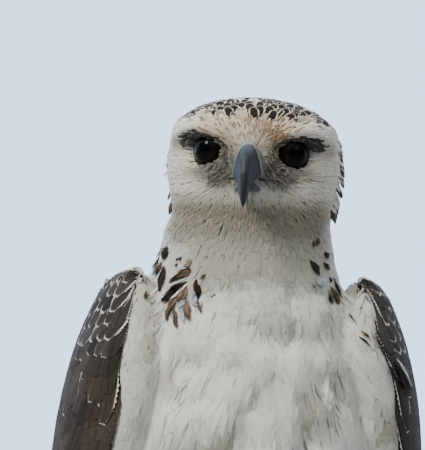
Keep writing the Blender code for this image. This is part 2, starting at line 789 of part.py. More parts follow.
def make_toe(side, bearing, length, radius):
    """Knuckled toe, its underside a little below the floor's level before it is cut flat."""
    across = toe_path(side, bearing + 90, 1) - toe_path(side, bearing + 90, 0)
    rings = []
    for share in np.linspace(0, 1, 7):
        knuckle = 1 + 0.09 * math.cos(share * 3 * 2 * math.pi)
        bulk = radius * knuckle * (1.08 - 0.20 * share)
        if share > 0.99:
            bulk *= 0.55
        centre = toe_path(side, bearing, length * share) + Vector((0, 0, radius * 0.98 - TOE_SINK))
        ring = []
        for k in range(7):
            a = 2 * math.pi * (k + 0.25) / 7
            ring.append(centre + across * bulk * math.cos(a) + Vector((0, 0, bulk * math.sin(a))))
        rings.append(ring)
    return loft("toe", rings)


def make_talon(name, side, bearing, length, arc):
    ahead = toe_path(side, bearing, 1) - toe_path(side, bearing, 0)
    across = toe_path(side, bearing + 90, 1) - toe_path(side, bearing + 90, 0)
    start_height = TALON_TIP_HEIGHT + arc * (math.sin(TALON_START) - math.sin(TALON_END))
    hub = toe_path(side, bearing, length - 0.004) - ahead * arc * math.cos(TALON_START)
    hub.z = start_height - arc * math.sin(TALON_START)
    rings = []
    for share in np.linspace(0, 1, 6):
        angle = TALON_START + (TALON_END - TALON_START) * share
        outward = ahead * math.cos(angle) + Vector((0, 0, math.sin(angle)))
        centre = hub + outward * arc
        bulk = TALON_RADIUS * (1 - share) ** 0.7 + 0.0004
        ring = []
        for k in range(7):
            a = 2 * math.pi * k / 7
            ring.append(centre + outward * bulk * 1.15 * math.cos(a) + across * bulk * 0.85 * math.sin(a))
        rings.append(ring)
    return loft(name, rings, black_talon())


def flatten_below(piece, level=0.0):
    """Cuts off what lies under a level, leaving a flat."""
    body = bmesh.new()
    body.from_mesh(piece.data)
    cut = bmesh.ops.bisect_plane(
        body, geom=body.verts[:] + body.edges[:] + body.faces[:], dist=1e-6,
        plane_co=(0, 0, level), plane_no=(0, 0, -1), clear_outer=True,
    )
    edges = [e for e in cut["geom_cut"] if isinstance(e, bmesh.types.BMEdge)]
    bmesh.ops.holes_fill(body, edges=edges)
    bmesh.ops.triangulate(body, faces=body.faces)
    bmesh.ops.recalc_face_normals(body, faces=body.faces)
    body.to_mesh(piece.data)
    body.free()


def make_leg(side, torso):
    word = "left" if side > 0 else "right"
    thigh = column("thigh_" + word, THIGH, side, 10, 18, white_feather())
    shank = column("shank_" + word, SHANK, side, 6, 12, white_feather())
    seat(shank, thigh)
    combine(thigh, trouser_locks(side, random.Random(31 if side > 0 else 32)), "UNION")
    thin_out(thigh)
    seat(thigh, torso)
    palm_centre = toe_path(side, 0, 0) + Vector((0, 0, PALM_RADIUS * 0.75))
    foot = ball("foot_" + word, palm_centre, PALM_RADIUS, 12, 7, pale_toe(), (1, 1, 0.8))
    toes = [make_toe(side, bearing, length, radius) for _, bearing, length, radius, _ in TOES]
    combine(foot, toes, "UNION")
    flatten_below(foot)
    thin_out(foot)
    talons = []
    for name, bearing, length, radius, arc in TOES:
        talons.append(make_talon(f"talon_{name}_{word}", side, bearing, length, arc))
    seat(foot, shank)
    for talon in talons:
        seat(talon, foot)
    return thigh


def tail_place(along, out, lift):
    """A point of the tail: a share of its length, sideways, and up from its plane towards the back."""
    forward = TAIL_ROOT[0] + (TAIL_TIP[0] - TAIL_ROOT[0]) * along
    height = TAIL_ROOT[1] + (TAIL_TIP[1] - TAIL_ROOT[1]) * along
    length = math.dist(TAIL_ROOT, TAIL_TIP)
    up = (TAIL_TIP[1] - TAIL_ROOT[1]) / length, (TAIL_ROOT[0] - TAIL_TIP[0]) / length
    return (out, -(forward + lift * up[0]), height + lift * up[1])


def rectrix(rank, side, shorter):
    """A tail feather; rank 0 is one of the middle pair, which lie flat over the rest."""
    def place(along, across, up):
        along_tail = along * (1 - shorter)
        pitch, half = between(RECTRIX_PITCH, along), between(RECTRIX_HALF, along)
        if rank == 0:
            return tail_place(along_tail, side * 0.0015 + half * across, (VANE_STEP if side > 0 else 0) + 0.0050 + up)
        centre = pitch * (rank + 0.4)
        out = max(centre + half * across, 0.0005)
        lean = VANE_STEP * 0.9 / pitch
        return tail_place(along_tail, side * out, -lean * (out - centre) + up - 0.0012)
    return vane(place, RECTRIX_OUTLINE, False)


def make_tail(torso):
    rings = []
    for share in np.linspace(0, TAIL_CORE, 6):
        half = between(TAIL_HALF_WIDTH, share / TAIL_CORE)
        thick = through(TAIL_DEPTH, share)[0, 0]
        angles = np.linspace(0, 2 * math.pi, 14, endpoint=False)
        rings.append([tail_place(share, half * math.sin(a), thick * math.cos(a)) for a in angles])
    tail = loft("tail", rings, brown_feather())
    dice = random.Random(21)
    feathers = [rectrix(rank, side, dice.uniform(0, 0.012) + 0.006 * rank) for rank in range(6) for side in (-1, 1)]
    combine(tail, feathers, "UNION")
    thin_out(tail)
    seat(tail, torso)
    return tail


def stand_on_origin():
    """Puts the origin under the middle of the whole bird, on the floor."""
    corners = np.array([vertex.co for piece in bpy.data.objects for vertex in piece.data.vertices])
    low, high = corners.min(axis=0), corners.max(axis=0)
    middle = Vector(((low[0] + high[0]) / 2, (low[1] + high[1]) / 2, low[2]))
    for piece in bpy.data.objects:
        for vertex in piece.data.vertices:
            vertex.co -= middle


def clear_scene():
    for old in list(bpy.data.objects):
        bpy.data.objects.remove(old)


def main():
    clear_scene()
    torso = make_torso()
    neck = make_neck()
    head = make_head()
    for side in (-1, 1):
        make_eye(side)
    make_bill(head)
    tail = make_tail(torso)
    for side in (-1, 1):
        thigh = make_leg(side, torso)
        make_wing(side, torso, neck, thigh, tail)
    stand_on_origin()


main()
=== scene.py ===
"""Looks of a young martial eagle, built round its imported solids.

Places are worked out in the bird's own frame: out is towards its left side (+X), forward is -Y, height is
above the floor. Sizes are in metres.
"""

import math
import random

import bmesh
import bpy
import mathutils.noise
import numpy as np
from mathutils import Matrix, Vector
from mathutils.bvhtree import BVHTree
from mathutils.kdtree import KDTree


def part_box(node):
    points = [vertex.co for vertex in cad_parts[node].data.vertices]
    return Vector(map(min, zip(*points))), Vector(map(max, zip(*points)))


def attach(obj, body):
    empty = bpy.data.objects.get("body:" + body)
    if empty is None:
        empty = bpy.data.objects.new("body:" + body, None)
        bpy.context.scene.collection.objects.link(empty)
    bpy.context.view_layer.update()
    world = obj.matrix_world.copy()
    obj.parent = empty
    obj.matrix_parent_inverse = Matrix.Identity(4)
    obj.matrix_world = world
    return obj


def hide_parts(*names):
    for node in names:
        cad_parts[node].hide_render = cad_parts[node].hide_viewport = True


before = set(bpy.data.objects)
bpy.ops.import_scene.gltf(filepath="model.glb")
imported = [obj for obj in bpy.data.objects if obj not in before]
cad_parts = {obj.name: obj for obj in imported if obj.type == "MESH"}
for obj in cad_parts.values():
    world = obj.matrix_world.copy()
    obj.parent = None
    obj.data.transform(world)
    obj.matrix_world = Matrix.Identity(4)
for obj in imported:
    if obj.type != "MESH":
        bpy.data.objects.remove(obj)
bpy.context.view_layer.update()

# The head, and where its parts sit in its own turned frame: out, forward, up from the eyes
EYE_HEIGHT = 0.696
HEAD_FORWARD = 0.008
HEAD_TURN = math.radians(-14.5)
EYE_OUT = 0.0235
EYE_FORWARD = 0.0265
EYE_RADIUS = 0.0118
EYE_BEARING = math.radians(38)
EYE_CLEAR = 0.0012              # bare ring between the eyeball and the coat
BILL_ROOT = (0.0, 0.050, -0.004)
SIDES = {1: "left", -1: "right"}

# Wing's outline: height, half width, its centre's forward place, front reach, back reach, and the bearings in
# degrees of its front and back edges
WING = (
    (0.070, 0.036, -0.184, 0.010, 0.042, 138, 170),
    (0.100, 0.049, -0.161, 0.018, 0.064, 126, 172),
    (0.160, 0.063, -0.123, 0.025, 0.082, 112, 173),
    (0.220, 0.076, -0.083, 0.036, 0.103, 97, 173),
    (0.280, 0.090, -0.050, 0.050, 0.121, 84, 173),
    (0.340, 0.102, -0.025, 0.068, 0.136, 70, 171),
    (0.400, 0.112, -0.010, 0.080, 0.141, 58, 169),
    (0.460, 0.117, 0.000, 0.088, 0.140, 49, 167),
    (0.510, 0.115, 0.002, 0.090, 0.126, 44, 164),
    (0.540, 0.1115, 0.004, 0.087, 0.113, 42, 161),
    (0.570, 0.105, 0.004, 0.080, 0.098, 41, 156),
    (0.600, 0.094, 0.004, 0.067, 0.080, 42, 145),
    (0.614, 0.086, 0.004, 0.058, 0.064, 46, 120),
    (0.621, 0.079, 0.004, 0.050, 0.052, 54, 92),
)
TAIL_ROOT = (-0.118, 0.262)     # forward, height
TAIL_TIP = (-0.222, 0.030)
FOOT_OUT = 0.0575
FOOT_FORWARD = -0.004

# How thick the folded wing is at each height
WING_DEPTH = (
    (0.070, 0.0036), (0.160, 0.0075), (0.280, 0.0180), (0.400, 0.0360), (0.500, 0.0460), (0.560, 0.0460),
    (0.585, 0.0380), (0.600, 0.0310), (0.608, 0.0260), (0.616, 0.0180), (0.621, 0.0110),
)
WHITE_FRONT = (                 # height, share of the wing's breadth that is white, on the right wing
    (0.400, 0.060), (0.500, 0.065), (0.540, 0.070), (0.560, 0.095), (0.590, 0.100), (0.600, 0.125),
    (0.610, 0.170), (0.621, 0.260),
)
WING_EDGE = 0.16                # share of the breadth over which either edge is rounded
WING_ROUNDING = 0.30
WING_TOP = 0.6205
WING_HEIGHTS = (0.078, 0.625)   # between these a point can lie on a wing
ALL_COVERED = 0.33              # below this height the wing's own feathers cover it on every side
WRIST_FALL = {1: 0.031, -1: 0.019}     # how far the wrist's front corner lies below its top, left and right
WRIST_SLOPE = 0.42              # share of the breadth over which it falls
SHOULDER_FALL = 0.022           # and how far the top falls towards the back
WRIST_TURN = {1: -6.5, -1: 4.0}        # degrees added to the front edge's bearing at the wrists

SKIN_VOXEL = 0.0021
COAT_DEPTH = 0.0018             # skin below the coat's outline, over most of the body
FACE_DEPTH = 0.0008
WING_INSET = 0.0042             # and below the wings' outline
LUMP = 0.0062                   # height of the loose plumage's swells


def tone(red, green, blue):
    """A colour given in screen values from 0 to 255, as the linear values that shaders read."""
    values = np.array((red, green, blue), float) / 255
    return np.where(values <= 0.04045, values / 12.92, ((values + 0.055) / 1.055) ** 2.4)


WHITE = tone(236, 237, 234)
CREAM = tone(229, 223, 211)
BUFF = tone(206, 182, 152)
RUFOUS = tone(120, 84, 64)
UMBER = tone(64, 52, 44)
BARK = tone(78, 66, 57)
SOOT = tone(38, 33, 31)
STRAW = tone(232, 222, 196)
DARK_SPOT = tone(46, 37, 33)


def smooth(low, high, value):
    """0 below low, 1 above high, with a soft step between; low may be the greater."""
    share = np.clip((np.asarray(value, float) - low) / (high - low), 0, 1)
    return share * share * (3 - 2 * share)


def through(knots, at):
    """Values on a smooth curve through given knots, each a place and its values, without overshoot."""
    knots = np.asarray(knots, float)
    place, value = knots[:, 0], knots[:, 1:]
    step = np.diff(place)[:, None]
    rise = np.diff(value, axis=0) / step
    slope = np.zeros_like(value)
    slope[0], slope[-1] = rise[0], rise[-1]
    same = rise[1:] * rise[:-1] > 0
    total = np.where(same, rise[1:] + rise[:-1], 1)
    slope[1:-1] = np.where(same, 2 * rise[1:] * rise[:-1] / total, 0)
    at = np.atleast_1d(np.asarray(at, float))
    i = np.clip(np.searchsorted(place, at) - 1, 0, len(place) - 2)
    t = np.clip((at - place[i]) / step[i, 0], 0, 1)[:, None]
    return (
        value[i] * (2 * t**3 - 3 * t**2 + 1)
        + slope[i] * step[i] * (t**3 - 2 * t**2 + t)
        + value[i + 1] * (3 * t**2 - 2 * t**3)
        + slope[i + 1] * step[i] * (t**3 - t**2)
    )


def unit(vectors):
    return vectors / np.maximum(np.linalg.norm(vectors, axis=-1, keepdims=True), 1e-9)


def head_point(out, forward, up):
    """A point of the head's own frame, in the bird's, before the shift to the solids' origin."""
    x = out * math.cos(HEAD_TURN) + forward * math.sin(HEAD_TURN)
    y = out * math.sin(HEAD_TURN) - forward * math.cos(HEAD_TURN)
    return np.array((x, y - HEAD_FORWARD, EYE_HEIGHT + up))


def solids_origin():
    """Where the bird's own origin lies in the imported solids."""
    low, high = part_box("eye_left")
    return (np.array(low) + np.array(high)) / 2 - head_point(EYE_OUT, EYE_FORWARD, 0)


ORIGIN = solids_origin()


def head_local(points):
    """Out, forward and up in the head's own frame, of points in the solids' frame."""
    x, y, z = (points - ORIGIN).T
    y = y + HEAD_FORWARD
    out = x * math.cos(HEAD_TURN) + y * math.sin(HEAD_TURN)
    forward = x * math.sin(HEAD_TURN) - y * math.cos(HEAD_TURN)
    return out, forward, z - EYE_HEIGHT


def on_head(out, forward, up):
    return Vector(head_point(out, forward, up) + ORIGIN)


def head_direction(out, forward, up):
    return Vector(head_point(out, forward, up) - head_point(0, 0, 0)).normalized()


# Materials


def new_material(name):
    material = bpy.data.materials.new(name)
    material.use_nodes = True
    tree = material.node_tree
    return material, tree, tree.nodes["Principled BSDF"]


def feed(tree, socket, value):
    """Links a node's output to the socket, or sets the socket to a plain value."""
    if isinstance(value, bpy.types.NodeSocket):
        tree.links.new(value, socket)
    else:
        socket.default_value = value


def node(tree, kind, inputs=(), **settings):
    made = tree.nodes.new(kind)
    for key, value in settings.items():
        setattr(made, key, value)
    for key, value in dict(inputs).items():
        feed(tree, made.inputs[key], value)
    return made


def sums(tree, operation, a, b=0.0, c=0.0):
    made = node(tree, "ShaderNodeMath", operation=operation)
    for socket, value in zip(made.inputs, (a, b, c)):
        feed(tree, socket, value)
    return made.outputs[0]


def step_between(tree, value, low, high):
    """Map Range from 0 at low to 1 at high, smooth."""
    inputs = {"Value": value, "From Min": low, "From Max": high}
    return node(tree, "ShaderNodeMapRange", inputs, interpolation_type="SMOOTHSTEP").outputs["Result"]


def blend(tree, factor, first, second, kind="MIX"):
    """Mixes two colours, each a node's output or a plain colour."""
    made = node(tree, "ShaderNodeMix", data_type="RGBA", blend_type=kind)
    feed(tree, made.inputs[0], factor)
    for socket, colour in ((made.inputs[6], first), (made.inputs[7], second)):
        feed(tree, socket, colour if isinstance(colour, bpy.types.NodeSocket) else (*colour, 1))
    return made.outputs[2]


def attribute(tree, name, output="Color"):
    return node(tree, "ShaderNodeAttribute", attribute_name=name).outputs[output]


def noise(tree, vector, scale, detail=3.0, roughness=0.55):
    inputs = {"Vector": vector, "Scale": scale, "Detail": detail, "Roughness": roughness}
    return node(tree, "ShaderNodeTexNoise", inputs).outputs["Fac"]


def own_place(tree):
    return node(tree, "ShaderNodeTexCoord").outputs["Object"]


def uv_place(tree, name):
    return node(tree, "ShaderNodeUVMap", uv_map=name).outputs["UV"]


def split(tree, vector):
    return node(tree, "ShaderNodeSeparateXYZ", {"Vector": vector}).outputs


def darkened(tree, colour, shade):
    """The colour times a plain shade."""
    levels = {"Red": shade, "Green": shade, "Blue": shade}
    grey = node(tree, "ShaderNodeCombineColor", levels).outputs["Color"]
    return blend(tree, 1.0, colour, grey, "MULTIPLY")


def lit(colour, factor):
    """A plain colour times a factor, within what a shader reads."""
    return np.clip(np.array(colour) * factor, 0, 1)


def band(tree, distance, width, core):
    """1 within the core share of the width, 0 past the width, and 0 all over where there is no width."""
    inside = step_between(tree, distance, width, sums(tree, "MULTIPLY", width, core))
    return sums(tree, "MULTIPLY", inside, sums(tree, "GREATER_THAN", width, 0.001))


def add_bump(tree, shader, height, strength, distance):
    bump = node(tree, "ShaderNodeBump", {"Height": height, "Strength": strength, "Distance": distance})
    tree.links.new(bump.outputs["Normal"], shader.inputs["Normal"])


def set_shader(tree, shader, values):
    for key, value in values.items():
        feed(tree, shader.inputs[key], value)


def feather_material():
    """Barbed feather: ground colour, coloured edge, shaft streak and bars, in each feather's own measure."""
    material, tree, shader = new_material("plumage")
    vane = split(tree, uv_place(tree, "vane"))
    along = vane["Y"]
    across = sums(tree, "ABSOLUTE", sums(tree, "MULTIPLY_ADD", vane["X"], 2.0, -1.0))
    plan = split(tree, attribute(tree, "plan", "Vector"))
    place = own_place(tree)
    fleck = noise(tree, place, 900.0)
    ragged = sums(tree, "MULTIPLY_ADD", fleck, 0.08, -0.04)
    # Distance in from the feather's rim, which is rounder at the tip
    tip = sums(tree, "MULTIPLY", sums(tree, "SUBTRACT", 1.0, along), 3.2)
    rim = sums(tree, "SMOOTH_MIN", sums(tree, "SUBTRACT", 1.0, across), tip, 0.25)
    edge = band(tree, sums(tree, "ADD", rim, ragged), plan["X"], 0.45)
    near_shaft = sums(tree, "ADD", across, sums(tree, "MULTIPLY", ragged, 0.8))
    shaft = band(tree, near_shaft, plan["Y"], 0.5)
    # The plan's third value holds whole radians of bars along the feather, and their strength as its fraction
    bar_turns = sums(tree, "FLOOR", plan["Z"])
    bar_strength = sums(tree, "SUBTRACT", plan["Z"], bar_turns)
    wander = sums(tree, "MULTIPLY", noise(tree, place, 130.0), 3.0)
    slant = sums(tree, "MULTIPLY_ADD", across, -1.6, wander)
    wave = sums(tree, "SINE", sums(tree, "MULTIPLY_ADD", along, bar_turns, slant))
    bars = sums(tree, "MULTIPLY", step_between(tree, wave, -0.1, 0.6), bar_strength)
    colour = attribute(tree, "ground")
    for share, over in ((bars, "streak"), (shaft, "streak"), (edge, "rim")):
        colour = blend(tree, share, colour, attribute(tree, over))
    # Fine barbs run out and tipwards from the shaft
    barbs = sums(tree, "MULTIPLY_ADD", along, 60.0, sums(tree, "MULTIPLY", across, -22.0))
    barbs = sums(tree, "SINE", sums(tree, "MULTIPLY", barbs, 2.4))
    shade = sums(tree, "MULTIPLY_ADD", barbs, 0.035, sums(tree, "MULTIPLY_ADD", fleck, 0.16, 0.90))
    add_bump(tree, shader, barbs, 0.25, 0.0003)
    set_shader(tree, shader, {
        "Base Color": darkened(tree, colour, shade), "Roughness": 0.62, "Specular IOR Level": 0.06,
        "Sheen Weight": 0.02, "Sheen Roughness": 0.5,
    })
    return material


def skin_material():
    """Bare skin under the coat, in the coat's own markings, pimpled where feathers root."""
    material, tree, shader = new_material("skin under the coat")
    place = own_place(tree)
    pimples = node(tree, "ShaderNodeTexVoronoi", {"Vector": place, "Scale": 420.0}).outputs["Distance"]
    shade = sums(tree, "MULTIPLY_ADD", noise(tree, place, 160.0), 0.3, 0.78)
    colour = darkened(tree, attribute(tree, "ground"), shade)
    add_bump(tree, shader, pimples, 0.4, 0.0004)
    set_shader(tree, shader, {"Base Color": colour, "Roughness": 0.8})
    return material


def horn_material(name, root_colour, tip_colour, reach, roughness):
    """Horn that darkens along the piece's own UV map, with fine growth lines."""
    material, tree, shader = new_material(name)
    place = own_place(tree)
    along = split(tree, uv_place(tree, "along"))["Y"]
    cloud = noise(tree, place, 220.0, 5.0)
    share = step_between(tree, sums(tree, "MULTIPLY_ADD", cloud, 0.25, along), *reach)
    colour = blend(tree, share, root_colour, tip_colour)
    scuffs = step_between(tree, noise(tree, place, 700.0, 4.0), 0.55, 0.75)
    colour = blend(tree, sums(tree, "MULTIPLY", scuffs, 0.30), colour, lit(root_colour, 2.1))
    growth = sums(tree, "MULTIPLY_ADD", along, 90.0, sums(tree, "MULTIPLY", cloud, 9.0))
    relief = sums(tree, "MULTIPLY_ADD", sums(tree, "SINE", growth), 0.3, cloud)
    add_bump(tree, shader, relief, 0.25, 0.0003)
    uneven = sums(tree, "MULTIPLY_ADD", cloud, 0.25, roughness - 0.12)
    set_shader(tree, shader, {"Base Color": colour, "Roughness": uneven})
    return material


def waxy_material(name, colour, dark, scale, depth, roughness):
    """Bare, wrinkled skin, as on the cere, the lids, the gape and the toes."""
    material, tree, shader = new_material(name)
    place = own_place(tree)
    inputs = {"Vector": place, "Scale": scale}
    cells = node(tree, "ShaderNodeTexVoronoi", inputs, feature="DISTANCE_TO_EDGE").outputs["Distance"]
    creases = step_between(tree, cells, 0.0, 0.12)
    mottled = blend(tree, noise(tree, place, scale * 0.4), lit(colour, 0.8), lit(colour, 1.2))
    add_bump(tree, shader, creases, 0.5, depth)
    set_shader(tree, shader, {"Base Color": blend(tree, creases, dark, mottled), "Roughness": roughness})
    return material


def eye_material():
    """Black pupil in a very dark brown iris, under a wet surface. The UV map runs from the pupil outwards."""
    material, tree, shader = new_material("dark eye")
    measure = uv_place(tree, "along")
    out = split(tree, measure)["Y"]
    rays = node(tree, "ShaderNodeTexNoise", {"Vector": measure, "Scale": 60.0}).outputs["Fac"]
    iris = blend(tree, rays, tone(12, 8, 6), tone(30, 19, 13))
    colour = blend(tree, step_between(tree, out, 0.175, 0.200), tone(3, 3, 3), iris)
    colour = blend(tree, step_between(tree, out, 0.34, 0.40), colour, tone(8, 6, 5))
    set_shader(tree, shader, {
        "Base Color": colour, "Roughness": 0.12, "Specular IOR Level": 0.05,
        "Coat Weight": 0.16, "Coat IOR": 1.36, "Coat Roughness": 0.02,
    })
    return material


# Meshes


def new_object(name, data):
    made = bpy.data.objects.new(name, data)
    bpy.context.scene.collection.objects.link(made)
    return made


def add_piece(name, mesh, material, replaces):
    made = new_object(name, mesh)
    mesh.materials.append(material)
    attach(made, "root")
    if replaces:
        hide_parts(*replaces)


def shade_smooth(mesh):
    mesh.polygons.foreach_set("use_smooth", np.ones(len(mesh.polygons), bool))


def angles_round(count):
    return [2 * math.pi * k / count for k in range(count)]


def ringed_mesh(name, rings, capped=True):
    """A skin bridged over rings; each ring starts as a circle whose points are moved to their places.

    Its UV map runs round each ring in U and from the first ring to the last in V.
    """
    body = bmesh.new()
    count, last = len(rings[0]), len(rings) - 1
    loops = []
    for ring in rings:
        circle = bmesh.ops.create_circle(body, segments=count, radius=1.0)["verts"]
        for vertex, place in zip(circle, ring):
            vertex.co = place
        loops.append(circle)
    spots = {vertex: (i / count, k / last) for k, loop in enumerate(loops) for i, vertex in enumerate(loop)}
    for pair in zip(loops, loops[1:]):
        edges = [body.edges.get((loop[i], loop[(i + 1) % count])) for loop in pair for i in range(count)]
        bmesh.ops.bridge_loops(body, edges=edges)
    if capped:
        bmesh.ops.holes_fill(body, edges=[edge for edge in body.edges if len(edge.link_faces) == 1])
    bmesh.ops.recalc_face_normals(body, faces=body.faces)
    layer = body.loops.layers.uv.new("along")
    for face in body.faces:
        for corner in face.loops:
            corner[layer].uv = spots[corner.vert]
    mesh = bpy.data.meshes.new(name)
    body.to_mesh(mesh)
    body.free()
    shade_smooth(mesh)
    return mesh


def one_skin(name, body, voxel, relax_factor, relax_rounds, kept=1.0):
    """The body's overlapping parts as one closed, relaxed skin, with a share of its faces; frees the body."""
    mesh = bpy.data.meshes.new(name)
    body.to_mesh(mesh)
    body.free()
    draft = new_object(name, mesh)
    remesh = draft.modifiers.new("one skin", "REMESH")
    remesh.mode = "VOXEL"
    remesh.voxel_size = voxel
    relax = draft.modifiers.new("relax", "SMOOTH")
    relax.factor = relax_factor
    relax.iterations = relax_rounds
    if kept < 1:
        draft.modifiers.new("thin out", "DECIMATE").ratio = kept
    bpy.context.view_layer.update()
    graph = bpy.context.evaluated_depsgraph_get()
    whole = bpy.data.meshes.new_from_object(draft.evaluated_get(graph))
    bpy.data.objects.remove(draft)
    return whole


def vertex_array(mesh, key="co"):
    """The places of a mesh's points or, with the key normal, the directions out of it there."""
    flat = np.empty(len(mesh.vertices) * 3, np.float32)
    mesh.vertices.foreach_get(key, flat)
    return flat.reshape(-1, 3).astype(float)


def move_points(mesh, points):
    mesh.vertices.foreach_set("co", points.astype(np.float32).ravel())
    mesh.update()


def set_colours(mesh, name, values, kind="FLOAT_COLOR"):
    layer = mesh.attributes.new(name, kind, "POINT")
    if kind == "FLOAT_COLOR":
        values = np.concatenate([values, np.ones((len(values), 1))], axis=1)
        layer.data.foreach_set("color", values.astype(np.float32).ravel())
    else:
        layer.data.foreach_set("vector", values.astype(np.float32).ravel())


# The wings' own surface


def edge_turn(share):
    """From 0 over the wing's middle to 1 at either edge, along a quarter of a circle."""
    near = np.clip(1 - np.minimum(share, 1 - share) / WING_EDGE, 0, 1)
    return 1 - np.sqrt(1 - near**2)


def white_front(height, side):
    """Share of the wing's breadth, from its front edge, that carries white feathers."""
    knots = np.array(WHITE_FRONT)
    wider = np.where(np.asarray(side) > 0, 0.02 + 0.05 * smooth(0.590, 0.615, height), 0.0)
    return np.interp(height, knots[:, 0], knots[:, 1]) + wider


def wing_sizes(height, side):
    """The outline's sizes at each height; the right wrist's front edge lies further out than the left's."""
    width, centre, front, back, first, last = through(WING, height).T
    turn = np.where(np.asarray(side) > 0, WRIST_TURN[1], WRIST_TURN[-1])
    first = first + turn * smooth(0.545, 0.612, height)
    return width, centre, front, back, first, last


def wing_outward(side, bearing, width, reach):
    """Level directions out of the wing's outline at bearings in radians."""
    return unit(np.stack([side * np.sin(bearing) / width, -np.cos(bearing) / reach, 0 * bearing], 1))


def wing_place(height, share, side, inset):
    """Points below the wing's outline by the inset, and the level directions out of the outline there."""
    width, centre, front, back, first, last = wing_sizes(height, side)
    bearing = np.radians(first + (last - first) * share)
    reach = np.where(np.cos(bearing) > 0, front, back)
    points = np.stack([side * width * np.sin(bearing), -(centre + reach * np.cos(bearing)), height], 1)
    outward = wing_outward(side, bearing, width, reach)
    fall = WRIST_FALL[side] * np.clip(1 - share / WRIST_SLOPE, 0, 1) ** 2.2
    fall = fall + SHOULDER_FALL * np.clip((share - 0.45) / 0.50, 0, 1) ** 1.6
    points[:, 2] -= fall * smooth(0.553, 0.621, height)
    return points + ORIGIN - outward * inset[:, None], outward


def wing_surface(height, share, side):
    """Points of the wing's outline, rounded at its edges, and the directions out of it there."""
    shape = np.broadcast_shapes(np.shape(height), np.shape(share))
    height, share = (np.broadcast_to(v, shape).ravel().astype(float) for v in (height, share))

    def rounded(height, share):
        depth = through(WING_DEPTH, height)[:, 0]
        return wing_place(height, share, side, depth * WING_ROUNDING * edge_turn(share))

    points, level = rounded(height, share)
    along = rounded(height, share + 0.01)[0] - rounded(height, share - 0.01)[0]
    down = rounded(height - 0.002, share)[0] - rounded(height + 0.002, share)[0]
    outward = unit(np.cross(along, down))
    outward = outward * np.sign((outward * level).sum(1, keepdims=True))
    return points.reshape(*shape, 3), outward.reshape(*shape, 3)


CORE_FOOT = 0.115
CORE_TOP = 0.6195
CORE_RINGS = 70
CORE_SHARES = ((0.004, 0.12, 8), (0.16, 0.84, 22), (0.88, 0.996, 8))   # closer points near the edges


def wing_core(side):
    """The folded wing under its feathers, a closed body along the inside of its outline."""
    shares = np.concatenate([np.linspace(*span) for span in CORE_SHARES])
    turn = edge_turn(shares)
    rings = []
    for height in np.linspace(CORE_FOOT, CORE_TOP, CORE_RINGS):
        level = np.full(len(shares), height)
        depth = float(through(WING_DEPTH, height)[0, 0])
        edge = float(white_front(height, side))
        deeper = min(WING_INSET, depth * 0.35) - COAT_DEPTH
        inset = COAT_DEPTH + deeper * smooth(edge - 0.01, edge + 0.05, shares)
        outer = depth * WING_ROUNDING * turn + inset - 0.8 * COAT_DEPTH * (shares < edge)
        inner = np.maximum(depth * (1 - 0.45 * turn), outer + 0.0025)
        ring = [wing_place(level, shares, side, outer)[0], wing_place(level, shares, side, inner)[0][::-1]]
        rings.append(np.concatenate(ring))
    return ringed_mesh("wing core", rings)


# The skin

TRUNK_NODES = ["torso", "neck", "head", "thigh_left", "thigh_right", "shank_left", "shank_right"]
WING_NODES = ["wing_left", "wing_right", "wing_tip_left", "wing_tip_right"]


def joined(meshes):
    body = bmesh.new()
    for mesh in meshes:
        body.from_mesh(mesh)
    bmesh.ops.remove_doubles(body, verts=body.verts, dist=1e-6)
    return body


def search_tree(meshes):
    body = joined(meshes)
    tree = BVHTree.FromBMesh(body)
    body.free()
    return tree


WING_CORES = [wing_core(1), wing_core(-1)]
TRUNK_SOLIDS = [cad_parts[name].data for name in TRUNK_NODES]
WING_FLESH = search_tree(WING_CORES)
TRUNK_FLESH = search_tree(TRUNK_SOLIDS)


def belongs_to_wing(points):
    """True for each point that is nearer to a wing than to the rest of the bird."""
    winged = np.zeros(len(points), bool)
    heights = points[:, 2]
    for i in np.nonzero((heights > 0.06) & (heights < 0.64))[0]:
        place = Vector(points[i])
        winged[i] = WING_FLESH.find_nearest(place)[3] < TRUNK_FLESH.find_nearest(place)[3]
    return winged


def wing_measure(points):
    """How far out each point stands in the wing's outline, 1 being on it, and its bearing in degrees there.

    The bearings of the outline's front and back edges at the point's height follow.
    """
    x, y, z = (points - ORIGIN).T
    width, centre, front, back, first, last = wing_sizes(z, np.sign(x))
    ahead = -y - centre
    reach = np.where(ahead > 0, front, back)
    radius = np.hypot(x / width, ahead / reach)
    bearing = np.degrees(np.arctan2(np.abs(x) / width, ahead / reach))
    inside = (z > WING_HEIGHTS[0]) & (z < WING_HEIGHTS[1])
    return np.where(inside, radius, 0), bearing, first, last


def under_wing_feathers(points, normals, winged):
    """True on a wing's outer side, which has feathers of its own, and false on its rolled front."""
    _, bearing, first, last = wing_measure(points)
    x, _, z = (points - ORIGIN).T
    side = np.sign(x)
    width, _, front, back = wing_sizes(z, side)[:4]
    turned = np.radians(bearing)
    outward = wing_outward(side, turned, width, np.where(np.cos(turned) > 0, front, back))
    faces_out = (normals * outward).sum(1) > 0.30
    share = (bearing - first) / (last - first)
    return winged & ((faces_out & (share > white_front(z, side) + 0.022)) | (z < ALL_COVERED))


def body_outline():
    """One smooth surface over all the flesh, at the coat's outline."""
    whole = one_skin("body outline", joined(TRUNK_SOLIDS + WING_CORES), SKIN_VOXEL, 0.6, 5, 0.55)
    points, normals = vertex_array(whole), vertex_array(whole, "normal")
    move_points(whole, points + normals * (lumps(points) - head_trim(points))[:, None])
    return whole


def lumps(points):
    """Soft swells of the loose plumage on the breast, belly and thighs."""
    _, y, z = (points - ORIGIN).T
    share = smooth(0.635, 0.600, z) * smooth(0.13, 0.20, z) * smooth(0.05, 0.01, y)
    share *= smooth(0.003, 0.016, np.array([WING_FLESH.find_nearest(Vector(p))[3] for p in points]))
    return swells(points) * LUMP * share


